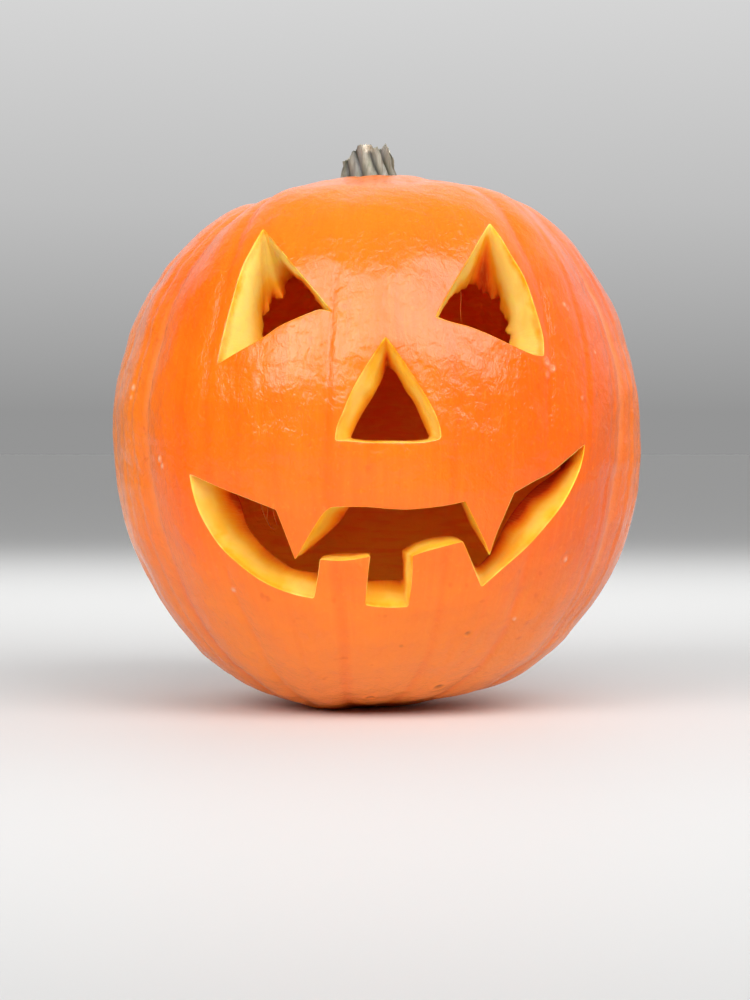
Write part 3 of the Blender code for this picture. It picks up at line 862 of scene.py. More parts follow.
        # the knife cut is even; how its far end is torn dies away towards the rind
        even = evened(inner, cut["even"])
        apart = np.linalg.norm(even - inner, axis=1)[:, None]
        even = inner + (even - inner) * np.minimum(1.0, cut["most"] / np.maximum(apart, 1e-6))
        even = evened(even, 0.8)
        span = np.linalg.norm(np.roll(edge + inner, -1, axis=0) - edge - inner, axis=1).mean() / 2
        shares = [
            (low + (high - low) * s)[:, None] / depth[:, None]
            for s in np.linspace(0, 1, count) ** (1.15 if cut["even"] < 3 else 0.9)
        ]
        torn_by = np.zeros((count, *inner.shape))
        torn_by[-1] = (inner - even) * shares[-1]
        torn_by = drawn_tight(torn_by, span, depth.mean() / count, 200)
        for share, more in zip(shares, torn_by):
            rows.append(edge + (even - edge) * share + more)
        last = rows[-1]
        rows.append(0.25 * last + 0.5 * inner + 0.25 * cut["back"])
        rows.append(cut["back"])
        grid = np.stack(rows)
        # the knife's marks, and the unevenness of a cut made by hand
        wide = np.roll(grid, -3, axis=1) - np.roll(grid, 3, axis=1)
        down = np.gradient(grid, axis=0)
        normal = np.cross(wide, down)
        size = np.linalg.norm(normal, axis=2)[..., None]
        normal = normal / np.maximum(size, 1e-6)
        run = np.concatenate(([0.0], np.cumsum(np.linalg.norm(np.diff(edge + inner, axis=0) / 2, axis=1))))
        gone = np.linalg.norm(grid - grid[:1], axis=2)
        share = np.clip(gone / depth, 0, 1)
        fade = smooth(0.03, 0.2, share) * smooth(1.0, 0.88, share)
        flat_points = grid.reshape(-1, 3)
        marks = np.stack((np.broadcast_to(run, gone.shape), gone * 0.10, np.full(gone.shape, 90.0 * cut["number"])), -1).reshape(-1, 3)
        swell = 0.22 * waves(flat_points, 26.0, 31) + 0.08 * waves(flat_points, 7.0, 32) + 0.05 * waves(marks, 4.2, 33)
        grid = grid + normal * (fade * swell.reshape(gone.shape))[..., None]
        n_rows, n = grid.shape[:2]
        inner_rows = grid[1:-1]
        base = total
        points.append(inner_rows.reshape(-1, 3))
        # the flesh's colour depth: real depth stretched per opening, plus patches of painted light and shade
        deep.append(depth_with_painted_shade(inner_rows.reshape(-1, 3), gone[1:-1].ravel(), cut["hue"]))
        cut_at.append(np.stack((np.broadcast_to(run, gone.shape), gone, np.full(gone.shape, float(cut["number"]))), -1)[1:-1].reshape(-1, 3))
        polar_w, azimuth_w, _ = skin_angles(inner_rows.reshape(-1, 3))
        turned.append(np.stack((np.cos(azimuth_w), np.sin(azimuth_w), polar_w), -1))
        furrow.append(np.full(len(polar_w), 20.0))
        pale.append(np.zeros(len(polar_w)))
        total += (n_rows - 2) * n
        number_of = [ids] + [base + j * n + np.arange(n) for j in range(n_rows - 2)] + [ids_h + hollow_start]
        flip = (int(ids[0]), int(ids[1])) in directed
        for j, (upper, lower) in enumerate(zip(number_of, number_of[1:])):
            nxt_u, nxt_l = np.roll(upper, -1), np.roll(lower, -1)
            if flip:
                quads = np.stack((nxt_u, upper, lower, nxt_l), -1)
            else:
                quads = np.stack((upper, nxt_u, nxt_l, lower), -1)
            first = np.stack((quads[:, 0], quads[:, 1], quads[:, 2]), -1)
            second = np.stack((quads[:, 0], quads[:, 2], quads[:, 3]), -1)
            all_faces += [first, second]
            finish += [np.full(2 * n, 0 if j < 1 else (2 if j >= n_rows - 2 else 1), np.int32)]
    return (
        np.vstack(points),
        np.vstack(all_faces),
        np.concatenate(finish),
        np.concatenate(deep),
        np.vstack(cut_at),
        np.vstack(turned),
        np.concatenate(furrow),
        np.concatenate(pale),
    )


def mesh_of(name, points, faces, finish=None, smooth_shade=True):
    """A mesh object from arrays: points in millimetres from the CAD's own axis."""
    mesh = bpy.data.meshes.new(name)
    placed = (points - MIDDLE) * MM
    mesh.vertices.add(len(placed))
    mesh.vertices.foreach_set("co", placed.astype(np.float32).ravel())
    mesh.loops.add(len(faces) * 3)
    mesh.loops.foreach_set("vertex_index", faces.astype(np.int32).ravel())
    mesh.polygons.add(len(faces))
    mesh.polygons.foreach_set("loop_start", np.arange(0, len(faces) * 3, 3, dtype=np.int32))
    if finish is not None:
        mesh.polygons.foreach_set("material_index", finish.astype(np.int32))
    mesh.update(calc_edges=True)
    mesh.validate()
    if smooth_shade:
        mesh.shade_smooth()
    made = bpy.data.objects.new(name, mesh)
    bpy.context.scene.collection.objects.link(made)
    return made


def give(mesh, name, values):
    kind = "FLOAT_VECTOR" if values.ndim == 2 else "FLOAT"
    attribute = mesh.attributes.new(name, kind, "POINT")
    attribute.data.foreach_set("vector" if values.ndim == 2 else "value", values.astype(np.float32).ravel())


def closed_and_out(faces):
    ends = np.concatenate((faces[:, [0, 1]], faces[:, [1, 2]], faces[:, [2, 0]]))
    forward, count = np.unique(ends, axis=0, return_counts=True)
    back = {tuple(e) for e in forward.tolist()}
    bad = sum((b, a) not in back for a, b in back)
    return bad, int((count > 1).sum())


# ---- the stem ----------------------------------------------------------------
STEM_FOOT = 257.0
STEM_COLUMNS, STEM_LEVELS = 192, 56
STEM_RADIUS = 14.0
STEM_RIDGES = 12
STEM_TWIST = math.radians(13) / 10
# how high the broken top is, across the stem from left to right
STEM_TOP_ACROSS = (-16.0, -11.6, -9.9, -8.4, -4.0, -1.2, 1.5, 3.5, 6.5, 9.2, 11.6, 13.6, 16.0)
STEM_TOP_HEIGHT = (277.0, 277.6, 278.3, 281.9, 283.4, 284.9, 284.7, 283.5, 283.5, 284.3, 280.4, 275.6, 273.2)


def stem_arrays():
    """A dry, ridged, twisted stem that flares into the rind and is broken off unevenly."""
    turn = np.arange(STEM_COLUMNS) * 2 * math.pi / STEM_COLUMNS
    rng = np.random.default_rng(7)
    uneven = rng.uniform(0.45, 1.35, STEM_RIDGES)
    shift = rng.uniform(-0.22, 0.22, STEM_RIDGES)

    def ridges(at):
        """From 0 in a groove to 1 on a ridge, and the ridge's own height."""
        place = (at / (2 * math.pi) * STEM_RIDGES) % STEM_RIDGES
        number = np.floor(place).astype(int) % STEM_RIDGES
        part = place - np.floor(place) + shift[number] * np.sin(math.pi * (place - np.floor(place)))
        return np.sin(math.pi * np.clip(part, 0, 1)) ** 0.70, uneven[number]

    rows, deep, groove = [], [], []
    crest, tall = ridges(turn)
    for level in range(STEM_LEVELS + 1):
        part = level / STEM_LEVELS
        # heights are worked out for a straight column first, then cut to the broken top
        base = STEM_FOOT + (287.0 - STEM_FOOT) * part
        flare = 7.2 * np.exp(-((base - 262.5) / 6.2)) if base > 262.5 else 7.2
        twist = -STEM_TWIST * (base - 262.0)
        spread_out = 1.0 + 0.05 * np.sin(2 * turn + 0.6)
        radius = (STEM_RADIUS + flare) * spread_out
        radius = radius - 2.3 * (1 - crest) * tall * (1 + 0.5 * flare / 7.2)
        x = radius * np.sin(turn + twist)
        y = -radius * np.cos(turn + twist)
        points = np.stack((x, y, np.full(STEM_COLUMNS, base)), -1)
        rough = 0.16 * waves(points * (1, 1, 0.18), 2.6, 41) + 0.22 * waves(points * (1, 1, 0.3), 6.5, 42)
        points[:, :2] *= (1 + 1.3 * rough / radius)[:, None]
        rows.append(points)
        deep.append(np.zeros(STEM_COLUMNS))
        groove.append(crest * np.minimum(1.0, 0.6 + 0.4 * tall))
    grid = np.stack(rows)
    # the broken top: each column stops at its own height
    top = np.interp(grid[-1, :, 0], STEM_TOP_ACROSS, STEM_TOP_HEIGHT)
    top = top - 0.9 * smooth(-2, 12, grid[-1, :, 1]) + 0.55 * waves(grid[-1], 3.2, 43) + 0.3 * waves(grid[-1], 1.4, 44)
    whole = grid[-1, 0, 2] - STEM_FOOT
    grid[..., 2] = STEM_FOOT + (grid[..., 2] - STEM_FOOT) * ((top - STEM_FOOT) / whole)[None, :]
    ids = np.arange(grid.shape[0] * STEM_COLUMNS).reshape(grid.shape[:2])
    points = [grid.reshape(-1, 3)]
    # the fibres have split away from one place at the front of the top
    below = grid[-1, None, :, 2] - grid[..., 2]
    split = np.exp(-(((grid[..., 0] + 0.6) / 2.3) ** 2)) * smooth(4.6, 2.6, below) * (grid[..., 1] < 0)
    broken = [split.ravel()]
    rise = [np.concatenate(groove)]
    rings = [ids[-1]]
    total = len(points[0])
    rim = grid[-1]
    centre = rim.mean(axis=0)
    for inward in (0.965, 0.90, 0.80, 0.68, 0.56, 0.44, 0.32, 0.20, 0.10):
        ring = centre + (rim - centre) * inward
        height = np.interp(ring[:, 0], STEM_TOP_ACROSS, STEM_TOP_HEIGHT)
        sunk = 1.5 * smooth(1.0, 0.6, inward)
        ring[:, 2] = height - sunk - 0.2 + 0.6 * waves(ring, 3.4, 45) + 0.35 * waves(ring, 1.6, 46)
        if inward > 0.95:
            ring[:, 2] = rim[:, 2] + 0.05
        points.append(ring)
        broken.append(np.full(STEM_COLUMNS, 1.0))
        rise.append(np.full(STEM_COLUMNS, 0.6))
        rings.append(total + np.arange(STEM_COLUMNS))
        total += STEM_COLUMNS
    points.append(np.array([[centre[0], centre[1], points[-1][:, 2].mean()]]))
    points.append(np.array([[centre[0], centre[1], STEM_FOOT]]))
    broken.append(np.array([1.0, 0.0]))
    rise.append(np.array([0.6, 0.6]))
    middle_id, foot_id = total, total + 1
    faces = []
    for lower, upper in zip([*ids[:-1], *rings[:-1]], [*ids[1:], *rings[1:]]):
        nl, nu = np.roll(lower, -1), np.roll(upper, -1)
        faces.append(np.stack((lower, nl, nu), -1))
        faces.append(np.stack((lower, nu, upper), -1))
    last = rings[-1]
    faces.append(np.stack((last, np.roll(last, -1), np.full(len(last), middle_id)), -1))
    faces.append(np.stack((np.roll(ids[0], -1), ids[0], np.full(len(last), foot_id)), -1))
    points = np.vstack(points) + (STEM_SHIFT, 0.0, 0.0)
    return points, np.vstack(faces), np.concatenate(broken), np.concatenate(rise)


# ---- threads of pulp ---------------------------------------------------------

def tube(knots, thick, sides=6):
    """A thin tube through the knots, tapering to its ends."""
    knots = np.asarray(knots, float)
    t = np.linspace(0, 1, len(knots))
    fine = np.linspace(0, 1, 6 * len(knots))
    line = np.stack([np.interp(fine, t, knots[:, i]) for i in range(3)], -1)
    for _ in range(6):
        line[1:-1] = (line[:-2] + 2 * line[1:-1] + line[2:]) / 4
    way = np.gradient(line, axis=0)
    way /= np.linalg.norm(way, axis=1)[:, None]
    side = np.cross(way, (0.31, 0.95, 0.05))
    side /= np.linalg.norm(side, axis=1)[:, None]
    up = np.cross(way, side)
    wide = thick * (0.35 + 0.65 * np.sin(math.pi * np.clip(fine * 0.9 + 0.05, 0, 1)))
    turn = np.arange(sides) * 2 * math.pi / sides
    rings = line[:, None, :] + wide[:, None, None] * (
        np.cos(turn)[None, :, None] * side[:, None, :] + np.sin(turn)[None, :, None] * up[:, None, :]
    )
    n = len(line)
    ids = np.arange(n * sides).reshape(n, sides)
    faces = []
    for a, b in zip(ids, ids[1:]):
        faces.append(np.stack((a, np.roll(a, -1), np.roll(b, -1)), -1))
        faces.append(np.stack((a, np.roll(b, -1), b), -1))
    points = np.vstack((rings.reshape(-1, 3), line[:1], line[-1:]))
    faces.append(np.stack((np.roll(ids[0], -1), ids[0], np.full(sides, n * sides)), -1))
    faces.append(np.stack((ids[-1], np.roll(ids[-1], -1), np.full(sides, n * sides + 1)), -1))
    return points, np.vstack(faces)


# place seen from the front, and how far in front of the hollow's wall (mm)
THREADS = (
    (((-60.0, 106.0, 0.0), (-59.5, 101.0, 2.5), (-58.0, 97.0, 4.0), (-56.5, 93.5, 3.0)), 0.26),
    (((-57.5, 106.0, 0.0), (-56.0, 100.0, 3.0), (-57.0, 95.0, 4.5), (-55.0, 91.0, 5.0), (-52.8, 90.0, 4.0)), 0.22),
    (((-54.0, 105.0, 0.0), (-53.5, 98.0, 2.0), (-51.5, 92.0, 3.0)), 0.20),
    (((42.3, 214.0, 0.5), (42.6, 208.0, 3.0), (42.2, 202.0, 3.4), (42.6, 196.0, 1.0)), 0.17),
)


def thread_arrays():
    points, faces, total = [], [], 0
    for knots, thick in THREADS:
        knots = np.array(knots)
        on = onto_hollow(knots[:, :2])
        back = on - SIGHT
        back /= np.linalg.norm(back, axis=1)[:, None]
        p, f = tube(on + back * knots[:, 2:], thick)
        points.append(p)
        faces.append(f + total)
        total += len(p)
    return np.vstack(points), np.vstack(faces)


# ---- finishes ----------------------------------------------------------------

class Nodes:
    """A short way to lay out a node tree."""

    def __init__(self, name):
        self.material = bpy.data.materials.new(name)
        self.material.use_nodes = True
        self.tree = self.material.node_tree
        self.shader = self.tree.nodes["Principled BSDF"]

    def link(self, value, socket):
        if hasattr(value, "is_output"):
            self.tree.links.new(value, socket)
        else:
            socket.default_value = value

    def add(self, kind, out=0, **sockets):
        node = self.tree.nodes.new("ShaderNode" + kind)
        for key, value in sockets.items():
            if key.startswith("_"):
                setattr(node, key[1:], value)
        for key, value in sockets.items():
            if not key.startswith("_"):
                name = int(key[1:]) if key[0] == "i" and key[1:].isdigit() else key.replace("__", " ")
                self.link(value, node.inputs[name])
        return node.outputs[out]

    def coords(self, scale):
        place = self.add("TexCoord", out="Object")
        return self.add("Mapping", Vector=place, Scale=scale)

    def attribute(self, name, out="Fac"):
        return self.add("Attribute", out=out, _attribute_name=name)

    def noise(self, vector, scale, detail=2.0, rough=0.5, bend=0.0):
        return self.add("TexNoise", out=0, Vector=vector, Scale=scale, Detail=detail, Roughness=rough, Distortion=bend)

    def ramp(self, value, *stops, ease="LINEAR"):
        node = self.tree.nodes.new("ShaderNodeValToRGB")
        node.color_ramp.interpolation = ease
        elements = node.color_ramp.elements
        while len(elements) < len(stops):
            elements.new(0.5)
        for element, (at, colour) in zip(elements, stops):
            element.position = at
            element.color = (*colour, 1.0) if hasattr(colour, "__len__") else (colour,) * 3 + (1.0,)
        self.link(value, node.inputs[0])
        return node.outputs[0]

    def mix(self, share, a, b, how="MIX"):
        node = self.tree.nodes.new("ShaderNodeMix")
        node.data_type = "RGBA"
        node.blend_type = how
        node.clamp_factor = True
        for value, socket in ((share, node.inputs[0]), (a, node.inputs[6]), (b, node.inputs[7])):
            if isinstance(value, tuple):
                value = (*value, 1.0)
            self.link(value, socket)
        return node.outputs[2]

    def maths(self, how, a, b=0.0, c=0.0):
        node = self.tree.nodes.new("ShaderNodeMath")
        node.operation = how
        for value, socket in zip((a, b, c), node.inputs):
            self.link(value, socket)
        return node.outputs[0]

    def between(self, value, low, high, to_low=0.0, to_high=1.0, ease="LINEAR"):
        node = self.tree.nodes.new("ShaderNodeMapRange")
        node.interpolation_type = ease
        for v, i in ((value, 0), (low, 1), (high, 2), (to_low, 3), (to_high, 4)):
            self.link(v, node.inputs[i])
        return node.outputs[0]

    def bump(self, height, strength, distance, after=None):
        node = self.tree.nodes.new("ShaderNodeBump")
        node.inputs["Strength"].default_value = strength
        node.inputs["Distance"].default_value = distance
        self.link(height, node.inputs["Height"])
        if after is not None:
            self.link(after, node.inputs["Normal"])
        return node.outputs[0]

    def finish(self, colour, rough, normal, **constant):
        self.link(colour, self.shader.inputs["Base Color"])
        self.link(rough, self.shader.inputs["Roughness"])
        self.link(normal, self.shader.inputs["Normal"])
        for key, value in constant.items():
            self.shader.inputs[key.replace("__", " ")].default_value = value
        return self.material


def rind_finish():
    n = Nodes("rind")
    here = n.coords((1, 1, 1))
    turned = n.attribute("turned", "Vector")
    furrow = n.attribute("furrow")
    pale = n.attribute("pale")
    across = n.add("SeparateXYZ", out=0, Vector=here)
    up = n.add("SeparateXYZ", out=2, Vector=here)
    # broad drifts of tone, and streaks that run from stem to base
    drift = n.noise(here, 11.0, 3.0, 0.55)
    streaks = n.noise(n.add("Mapping", Vector=turned, Scale=(15.0, 15.0, 1.3)), 1.0, 4.0, 0.6, 0.3)
    fine_streaks = n.noise(n.add("Mapping", Vector=turned, Scale=(62.0, 62.0, 5.0)), 1.0, 3.0, 0.6, 0.4)
    colour = n.mix(
        n.between(drift, 0.36, 0.66),
        (0.93, 0.132, 0.0010),
        (0.95, 0.172, 0.0018),
    )
    # painted shade: one cheek, the right, is a shade deeper than the other, standing for the weaker light on that side
    colour = n.mix(n.between(across, -0.02, 0.10), colour, (0.75, 0.108, 0.0010))
    colour = n.mix(n.between(streaks, 0.40, 0.70, 0.0, 0.45), colour, (0.88, 0.100, 0.0008))
    colour = n.mix(n.between(fine_streaks, 0.5, 0.75, 0.0, 0.22), colour, (0.95, 0.21, 0.006))
    # paler towards the base, a painted glow of light thrown up from the floor; and paler round the stem
    colour = n.mix(n.between(up, 0.090, 0.0, 0.0, 0.70), colour, (0.98, 0.34, 0.034))
    colour = n.mix(n.between(up, 0.215, 0.262, 0.0, 0.55), colour, (0.95, 0.245, 0.012))
    # painted sheen: a shade yellower round the sides, standing for the pale reflection along the edges
    aside = n.maths("ABSOLUTE", across)
    colour = n.mix(n.between(aside, 0.112, 0.132, 0.0, 0.55), colour, (0.96, 0.235, 0.010))
    colour = n.mix(n.between(across, -0.092, -0.126, 0.0, 0.55), colour, (0.99, 0.27, 0.022))
    # painted shade: the furrows are darker and redder
    colour = n.mix(n.between(furrow, 4.5, 0.5, 0.0, 0.26, "SMOOTHSTEP"), colour, (0.88, 0.100, 0.0012))
    # painted highlight: at the sides the furrows' lips are pale, most towards the front, standing for the light caught
    # on the ribs
    painted_rib_highlight = n.between(furrow, 5.5, 0.4, 0.0, 0.42, "SMOOTHSTEP")
    painted_rib_highlight = n.maths("MULTIPLY", painted_rib_highlight, n.between(aside, 0.094, 0.108))
    painted_rib_highlight = n.maths("MULTIPLY", painted_rib_highlight, n.between(n.add("SeparateXYZ", out=1, Vector=here), 0.03, -0.03, 0.25, 1.0))
    painted_rib_highlight = n.maths("MULTIPLY", painted_rib_highlight, n.between(drift, 0.35, 0.60, 0.55, 1.0))
    colour = n.mix(painted_rib_highlight, colour, (1.0, 0.37, 0.12))
    # pores
    pores = n.noise(here, 420.0, 2.0, 0.5)
    colour = n.mix(n.between(pores, 0.60, 0.78, 0.0, 0.30), colour, (0.96, 0.24, 0.015))
    specks = n.noise(here, 170.0, 1.0, 0.5)
    colour = n.mix(n.between(specks, 0.70, 0.80, 0.0, 0.30), colour, (0.60, 0.065, 0.002))
    # healed marks
    colour = n.mix(n.between(pale, 0.05, 1.0), colour, (0.90, 0.60, 0.38))
    colour = n.mix(n.between(pale, -0.05, -1.0), colour, (0.22, 0.055, 0.012))
    # wrinkled, waxy skin
    slant = n.add("Mapping", Vector=here, Rotation=(0.0, math.radians(14), 0.0), Scale=(1.0, 1.0, 0.42))
    wrinkles = n.noise(slant, 400.0, 3.0, 0.62, 1.0)
    dimples = n.noise(here, 190.0, 3.0, 0.55, 0.5)
    soft = n.noise(here, 62.0, 3.0, 0.5)
    normal = n.bump(streaks, 0.12, 0.0007)
    normal = n.bump(soft, 0.45, 0.0016, normal)
    normal = n.bump(dimples, 0.48, 0.0011, normal)
    normal = n.bump(wrinkles, 0.42, 0.0008, normal)
    rough = n.between(n.noise(here, 95.0, 3.0, 0.6), 0.3, 0.7, 0.17, 0.25)
    return n.finish(
        colour, rough, normal,
        Subsurface__Weight=0.12, Subsurface__Radius=(1.0, 0.25, 0.04), Subsurface__Scale=0.003,
        Specular__IOR__Level=0.56, IOR=1.45,
    )


def flesh_finish():
    n = Nodes("cut_flesh")
    here = n.coords((1, 1, 1))
    deep = n.attribute("deep")
    cut = n.attribute("cut", "Vector")
    wander = n.between(n.noise(here, 110.0, 3.0, 0.6), 0.3, 0.7, -1.1, 1.1)
    depth = n.maths("ADD", deep, wander)
    share = n.between(depth, 0.0, 30.0)
    # yellow below the rind turning orange with depth is the flesh's own tone; the dark red at the far end is painted
    # shade deep in the cut
    colour = n.ramp(
        share,
        (0.0, (0.96, 0.29, 0.004)),
        (0.05, (0.97, 0.42, 0.010)),
        (0.14, (0.98, 0.58, 0.040)),
        (0.42, (0.98, 0.62, 0.070)),
        (0.60, (0.98, 0.46, 0.022)),
        (0.76, (0.95, 0.28, 0.008)),
        (0.90, (0.82, 0.13, 0.003)),
        (1.0, (0.55, 0.050, 0.001)),
    )
    patches = n.noise(here, 46.0, 3.0, 0.55, 0.3)
    shallow = n.between(share, 0.55, 0.35)
    pale_share = n.maths("MULTIPLY", n.between(patches, 0.42, 0.66, 0.0, 0.65), shallow)
    colour = n.mix(pale_share, colour, (0.99, 0.70, 0.19))
    # the eyes' flesh is the palest
    which = n.add("SeparateXYZ", out=2, Vector=cut)
    pale_eye = n.maths("MULTIPLY", n.between(which, 1.6, 1.4, 0.0, 0.75), n.between(share, 0.05, 0.12))
    colour = n.mix(n.maths("MULTIPLY", pale_eye, shallow), colour, (0.99, 0.81, 0.23))
    colour = n.mix(n.between(patches, 0.50, 0.30, 0.0, 0.40), colour, (0.98, 0.38, 0.008))
    fibres = n.noise(n.add("Mapping", Vector=cut, Scale=(0.9, 0.14, 7.0)), 1.0, 4.0, 0.65, 0.4)
    colour = n.mix(n.between(fibres, 0.48, 0.75, 0.0, 0.22), colour, (0.99, 0.64, 0.15))
    # painted shade: the eyes' lower ends are darkened to a deeper yellow, against the light that falls on them from
    # above
    lower = n.maths("MULTIPLY", n.between(n.add("SeparateXYZ", out=2, Vector=here), 0.199, 0.180), n.between(which, 1.6, 1.4))
    colour = n.mix(lower, colour, n.mix(1.0, colour, (0.92, 0.76, 0.70), "MULTIPLY"))
    # painted shade: what faces up is darkened a little, standing for the strong light from above
    faces = n.add("NewGeometry", out=1)
    tilt = n.add("SeparateXYZ", out=2, Vector=faces)
    dry = n.mix(1.0, colour, (0.88, 0.83, 0.76), "MULTIPLY")
    colour = n.mix(n.between(tilt, 0.10, 0.75, 0.0, 1.0), colour, dry)
    grain = n.noise(here, 800.0, 2.0, 0.6)
    normal = n.bump(fibres, 0.25, 0.0005)
    normal = n.bump(n.noise(here, 330.0, 3.0, 0.6), 0.25, 0.0004, normal)
    normal = n.bump(grain, 0.3, 0.0002, normal)
    rough = n.between(patches, 0.3, 0.7, 0.42, 0.58)
    return n.finish(
        colour, rough, normal,
        Subsurface__Weight=0.60, Subsurface__Radius=(1.0, 0.55, 0.08), Subsurface__Scale=0.008,
        Specular__IOR__Level=0.35, IOR=1.40,
    )


def pulp_finish():
    n = Nodes("scraped_pulp")
    here = n.coords((1, 1, 1))
    turned = n.attribute("turned", "Vector")
    up = n.add("SeparateXYZ", out=2, Vector=here)
    strings = n.noise(n.add("Mapping", Vector=turned, Scale=(8.0, 8.0, 26.0)), 1.0, 4.0, 0.65, 0.8)
    blotch = n.noise(here, 34.0, 3.0, 0.55)
    colour = n.mix(n.between(strings, 0.35, 0.68), (1.0, 0.205, 0.0040), (1.0, 0.305, 0.0100))
    colour = n.mix(n.between(blotch, 0.45, 0.7, 0.0, 0.35), colour, (1.0, 0.34, 0.012))
    # the lower half is paler
    colour = n.mix(n.between(up, 0.120, 0.070, 0.0, 0.8), colour, (1.0, 0.50, 0.018))
    streaks = n.noise(n.coords((0.5, 0.5, 5.0)), 60.0, 4.0, 0.65, 0.6)
    colour = n.mix(n.between(streaks, 0.48, 0.68, 0.0, 0.50), colour, (0.98, 0.18, 0.003))
    normal = n.bump(strings, 0.6, 0.0012)
    normal = n.bump(n.noise(here, 300.0, 3.0, 0.6), 0.4, 0.0005, normal)
    rough = n.between(blotch, 0.3, 0.7, 0.46, 0.62)
    return n.finish(
        colour, rough, normal,
        Subsurface__Weight=0.30, Subsurface__Radius=(1.0, 0.30, 0.04), Subsurface__Scale=0.004,
        Specular__IOR__Level=0.25, IOR=1.40,
    )


def thread_finish():
    n = Nodes("pulp_thread")
    here = n.coords((1, 1, 1))
    tone = n.noise(here, 240.0, 2.0, 0.5)
    colour = n.mix(n.between(tone, 0.35, 0.65), (0.50, 0.11, 0.01), (0.62, 0.20, 0.03))
    return n.finish(
        colour, n.between(tone, 0.3, 0.7, 0.35, 0.5), n.bump(tone, 0.3, 0.0002),
        Subsurface__Weight=0.4, Subsurface__Radius=(1.0, 0.5, 0.12), Subsurface__Scale=0.001,
    )


def stem_finish():
    n = Nodes("dry_stem")
    here = n.coords((1, 1, 1))
    rise = n.attribute("rise")
    broken = n.attribute("broken")
    length = n.noise(n.coords((1.0, 1.0, 0.10)), 520.0, 4.0, 0.65, 0.3)
    broad = n.noise(n.coords((1.0, 1.0, 0.30)), 120.0, 3.0, 0.6, 0.4)
    # dark in the grooves and pale on the ridges: partly the stem's own tone, partly painted shade in the grooves
    colour = n.ramp(
        rise,
        (0.0, (0.022, 0.023, 0.014)),
        (0.30, (0.060, 0.062, 0.040)),
        (0.65, (0.185, 0.185, 0.135)),
        (1.0, (0.36, 0.355, 0.28)),
    )
    colour = n.mix(n.between(length, 0.42, 0.60, 0.0, 0.50), colour, (0.10, 0.105, 0.070))
    colour = n.mix(n.between(broad, 0.45, 0.65, 0.0, 0.45), colour, (0.25, 0.245, 0.25))
    colour = n.mix(n.between(broad, 0.45, 0.28, 0.0, 0.50), colour, (0.19, 0.22, 0.12))
    pith = n.mix(n.between(n.noise(here, 420.0, 3.0, 0.6), 0.38, 0.62), (0.34, 0.30, 0.21), (0.78, 0.72, 0.58))
    colour = n.mix(broken, colour, pith)
    normal = n.bump(length, 0.65, 0.0008)
    normal = n.bump(n.noise(here, 900.0, 3.0, 0.6), 0.3, 0.0002, normal)
    return n.finish(colour, n.between(length, 0.3, 0.7, 0.55, 0.75), normal, Specular__IOR__Level=0.35)


def floor_finish():
    n = Nodes("studio_floor")
    n.shader.inputs["Base Color"].default_value = (0.66, 0.66, 0.655, 1.0)
    n.shader.inputs["Roughness"].default_value = 0.6
    n.shader.inputs["Specular IOR Level"].default_value = 0.2
    return n.material


# ---- the pieces --------------------------------------------------------------

def keep_as_piece(piece, finishes):
    for finish in finishes:
        piece.data.materials.append(finish)
    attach(piece, "root")
    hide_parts(NODE)
    return piece


def make_shell():
    place_scars()
    points, faces, finish, deep, cut, turned, furrow, pale = shell_arrays()
    print("shell", len(points), "points", len(faces), "faces, unmatched edges", closed_and_out(faces))
    shell = mesh_of("pumpkin_shell", points, faces, finish)
    give(shell.data, "deep", deep)
    give(shell.data, "cut", cut)
    give(shell.data, "turned", turned)
    give(shell.data, "furrow", furrow)
    give(shell.data, "pale", pale)
    return keep_as_piece(shell, (rind_finish(), flesh_finish(), pulp_finish()))


def make_stem():
    points, faces, broken, rise = stem_arrays()
    print("stem", len(points), "points", len(faces), "faces, unmatched edges", closed_and_out(faces))
    stem = mesh_of("pumpkin_stem", points, faces)
    give(stem.data, "broken", broken)
    give(stem.data, "rise", rise)
    return keep_as_piece(stem, (stem_finish(),))


def make_threads():
    points, faces = thread_arrays()
    return keep_as_piece(mesh_of("pulp_threads", points, faces), (thread_finish(),))


def make_floor():
    bpy.ops.mesh.primitive_circle_add(vertices=96, radius=9.0, fill_type="NGON", location=(0, 0, -0.0002))
    floor = bpy.context.object
    floor.name = "studio_floor"
    floor.data.materials.append(floor_finish())


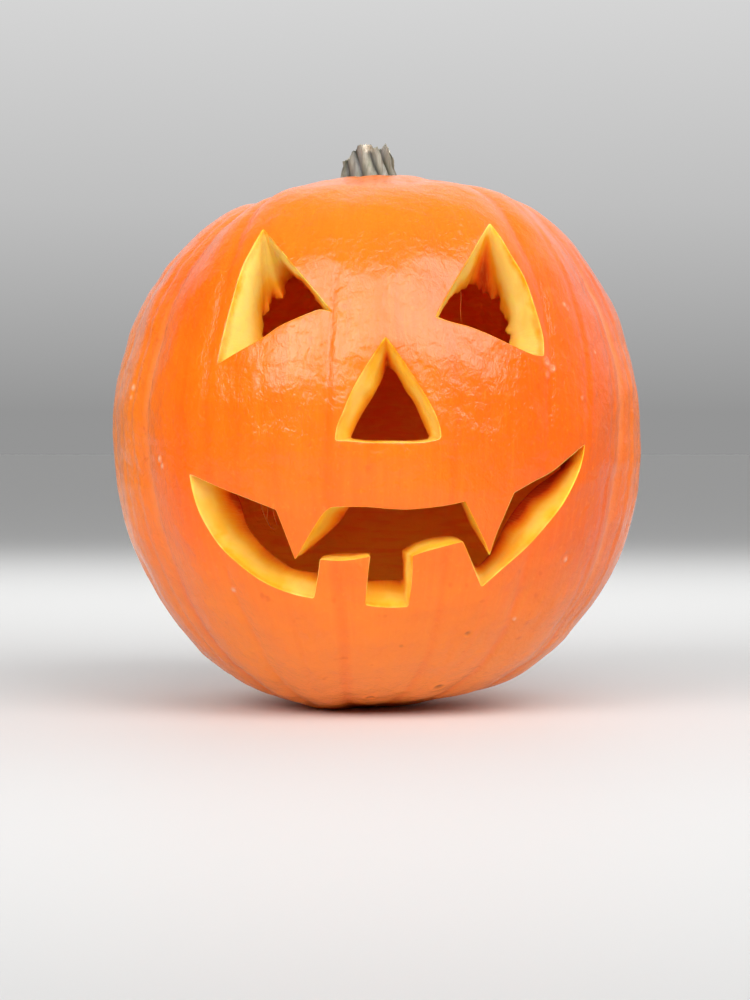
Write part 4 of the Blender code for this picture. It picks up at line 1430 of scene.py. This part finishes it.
def make_world():
    """Dim in front and overhead, brighter behind and to the right, and palest half-way up."""
    world = bpy.data.worlds.new("studio")
    bpy.context.scene.world = world
    world.use_nodes = True
    tree = world.node_tree
    back = tree.nodes["Background"]
    back.inputs["Color"].default_value = (1.0, 1.0, 1.0, 1.0)
    place = tree.nodes.new("ShaderNodeTexCoord")
    split = tree.nodes.new("ShaderNodeSeparateXYZ")
    tree.links.new(place.outputs["Generated"], split.inputs[0])

    def curve_of(pairs):
        ramp = tree.nodes.new("ShaderNodeValToRGB")
        stops = ramp.color_ramp.elements
        while len(stops) < len(pairs):
            stops.new(0.5)
        for stop, (at, strength) in zip(stops, pairs):
            stop.position = at
            stop.color = (strength / 2, strength / 2, strength / 2, 1.0)
        tree.links.new(split.outputs[2], ramp.inputs[0])
        return ramp.outputs[0]

    lean = tree.nodes.new("ShaderNodeMath")
    lean.operation = "MULTIPLY_ADD"
    lean.inputs[1].default_value = 0.45
    tree.links.new(split.outputs[0], lean.inputs[0])
    tree.links.new(split.outputs[1], lean.inputs[2])
    behind = tree.nodes.new("ShaderNodeMapRange")
    behind.interpolation_type = "SMOOTHSTEP"
    behind.inputs[1].default_value = 0.0
    behind.inputs[2].default_value = 0.85
    tree.links.new(lean.outputs[0], behind.inputs[0])
    mix = tree.nodes.new("ShaderNodeMix")
    mix.data_type = "RGBA"
    tree.links.new(behind.outputs[0], mix.inputs[0])
    tree.links.new(curve_of(WORLD_FRONT), mix.inputs[6])
    tree.links.new(curve_of(WORLD_BACK), mix.inputs[7])
    double = tree.nodes.new("ShaderNodeVectorMath")
    double.operation = "SCALE"
    double.inputs[3].default_value = 2.0
    tree.links.new(mix.outputs[2], double.inputs[0])
    tree.links.new(double.outputs[0], back.inputs["Color"])


def make_light(name, azimuth, elevation, away, size, power, spread=180, aim=(0, 0, 0.14)):
    """A softbox. azimuth is from the front towards +X."""
    a, e = math.radians(azimuth), math.radians(elevation)
    aim = Vector(aim)
    at = aim + away * Vector((math.sin(a) * math.cos(e), -math.cos(a) * math.cos(e), math.sin(e)))
    data = bpy.data.lights.new(name, "AREA")
    data.shape = "RECTANGLE"
    data.size, data.size_y = size
    data.energy = power
    data.spread = math.radians(spread)
    light = bpy.data.objects.new(name, data)
    light.location = at
    light.rotation_euler = (aim - at).to_track_quat("-Z", "Y").to_euler()
    light.visible_camera = False
    bpy.context.scene.collection.objects.link(light)


def make_camera():
    data = bpy.data.cameras.new("camera")
    camera = bpy.data.objects.new("camera", data)
    bpy.context.scene.collection.objects.link(camera)
    at, aim = Vector((-0.001, -1.5, 0.150)), Vector((-0.001, 0.0, 0.105))
    camera.location = at
    camera.rotation_euler = (aim - at).to_track_quat("-Z", "Y").to_euler()
    data.sensor_fit = "VERTICAL"
    data.sensor_height = 24.0
    data.lens = 24.0 * (aim - at).length / 0.512
    bpy.context.scene.camera = camera


# brightness by height: 0 at the horizon, 1 overhead
WORLD_FRONT = ((0.0, 0.10), (0.5, 0.12), (0.9, 0.26))
WORLD_BACK = ((0.0, 0.30), (0.07, 0.52), (0.25, 0.90), (0.65, 1.10), (0.95, 0.30))

make_shell()
make_stem()
make_threads()
make_floor()
make_world()
make_light("left_softbox", -35, 28, 1.5, (1.0, 0.80), 3.30, 80)
make_light("middle_softbox", 0, 37, 1.5, (0.7, 1.1), 1.75, 80)
make_light("right_softbox", 36, 35, 1.5, (1.15, 1.15), 5.0, 80)
# a lamp that lights the floor behind
make_light("floor_softbox", 180, 89.9, 1.16, (2.8, 1.0), 6.0, 60, (0, 0.95, 0.14))
make_camera()
bpy.context.scene.view_settings.view_transform = "Standard"
# light goes round inside the hollow many times before it comes out
bpy.context.scene.cycles.diffuse_bounces = 8
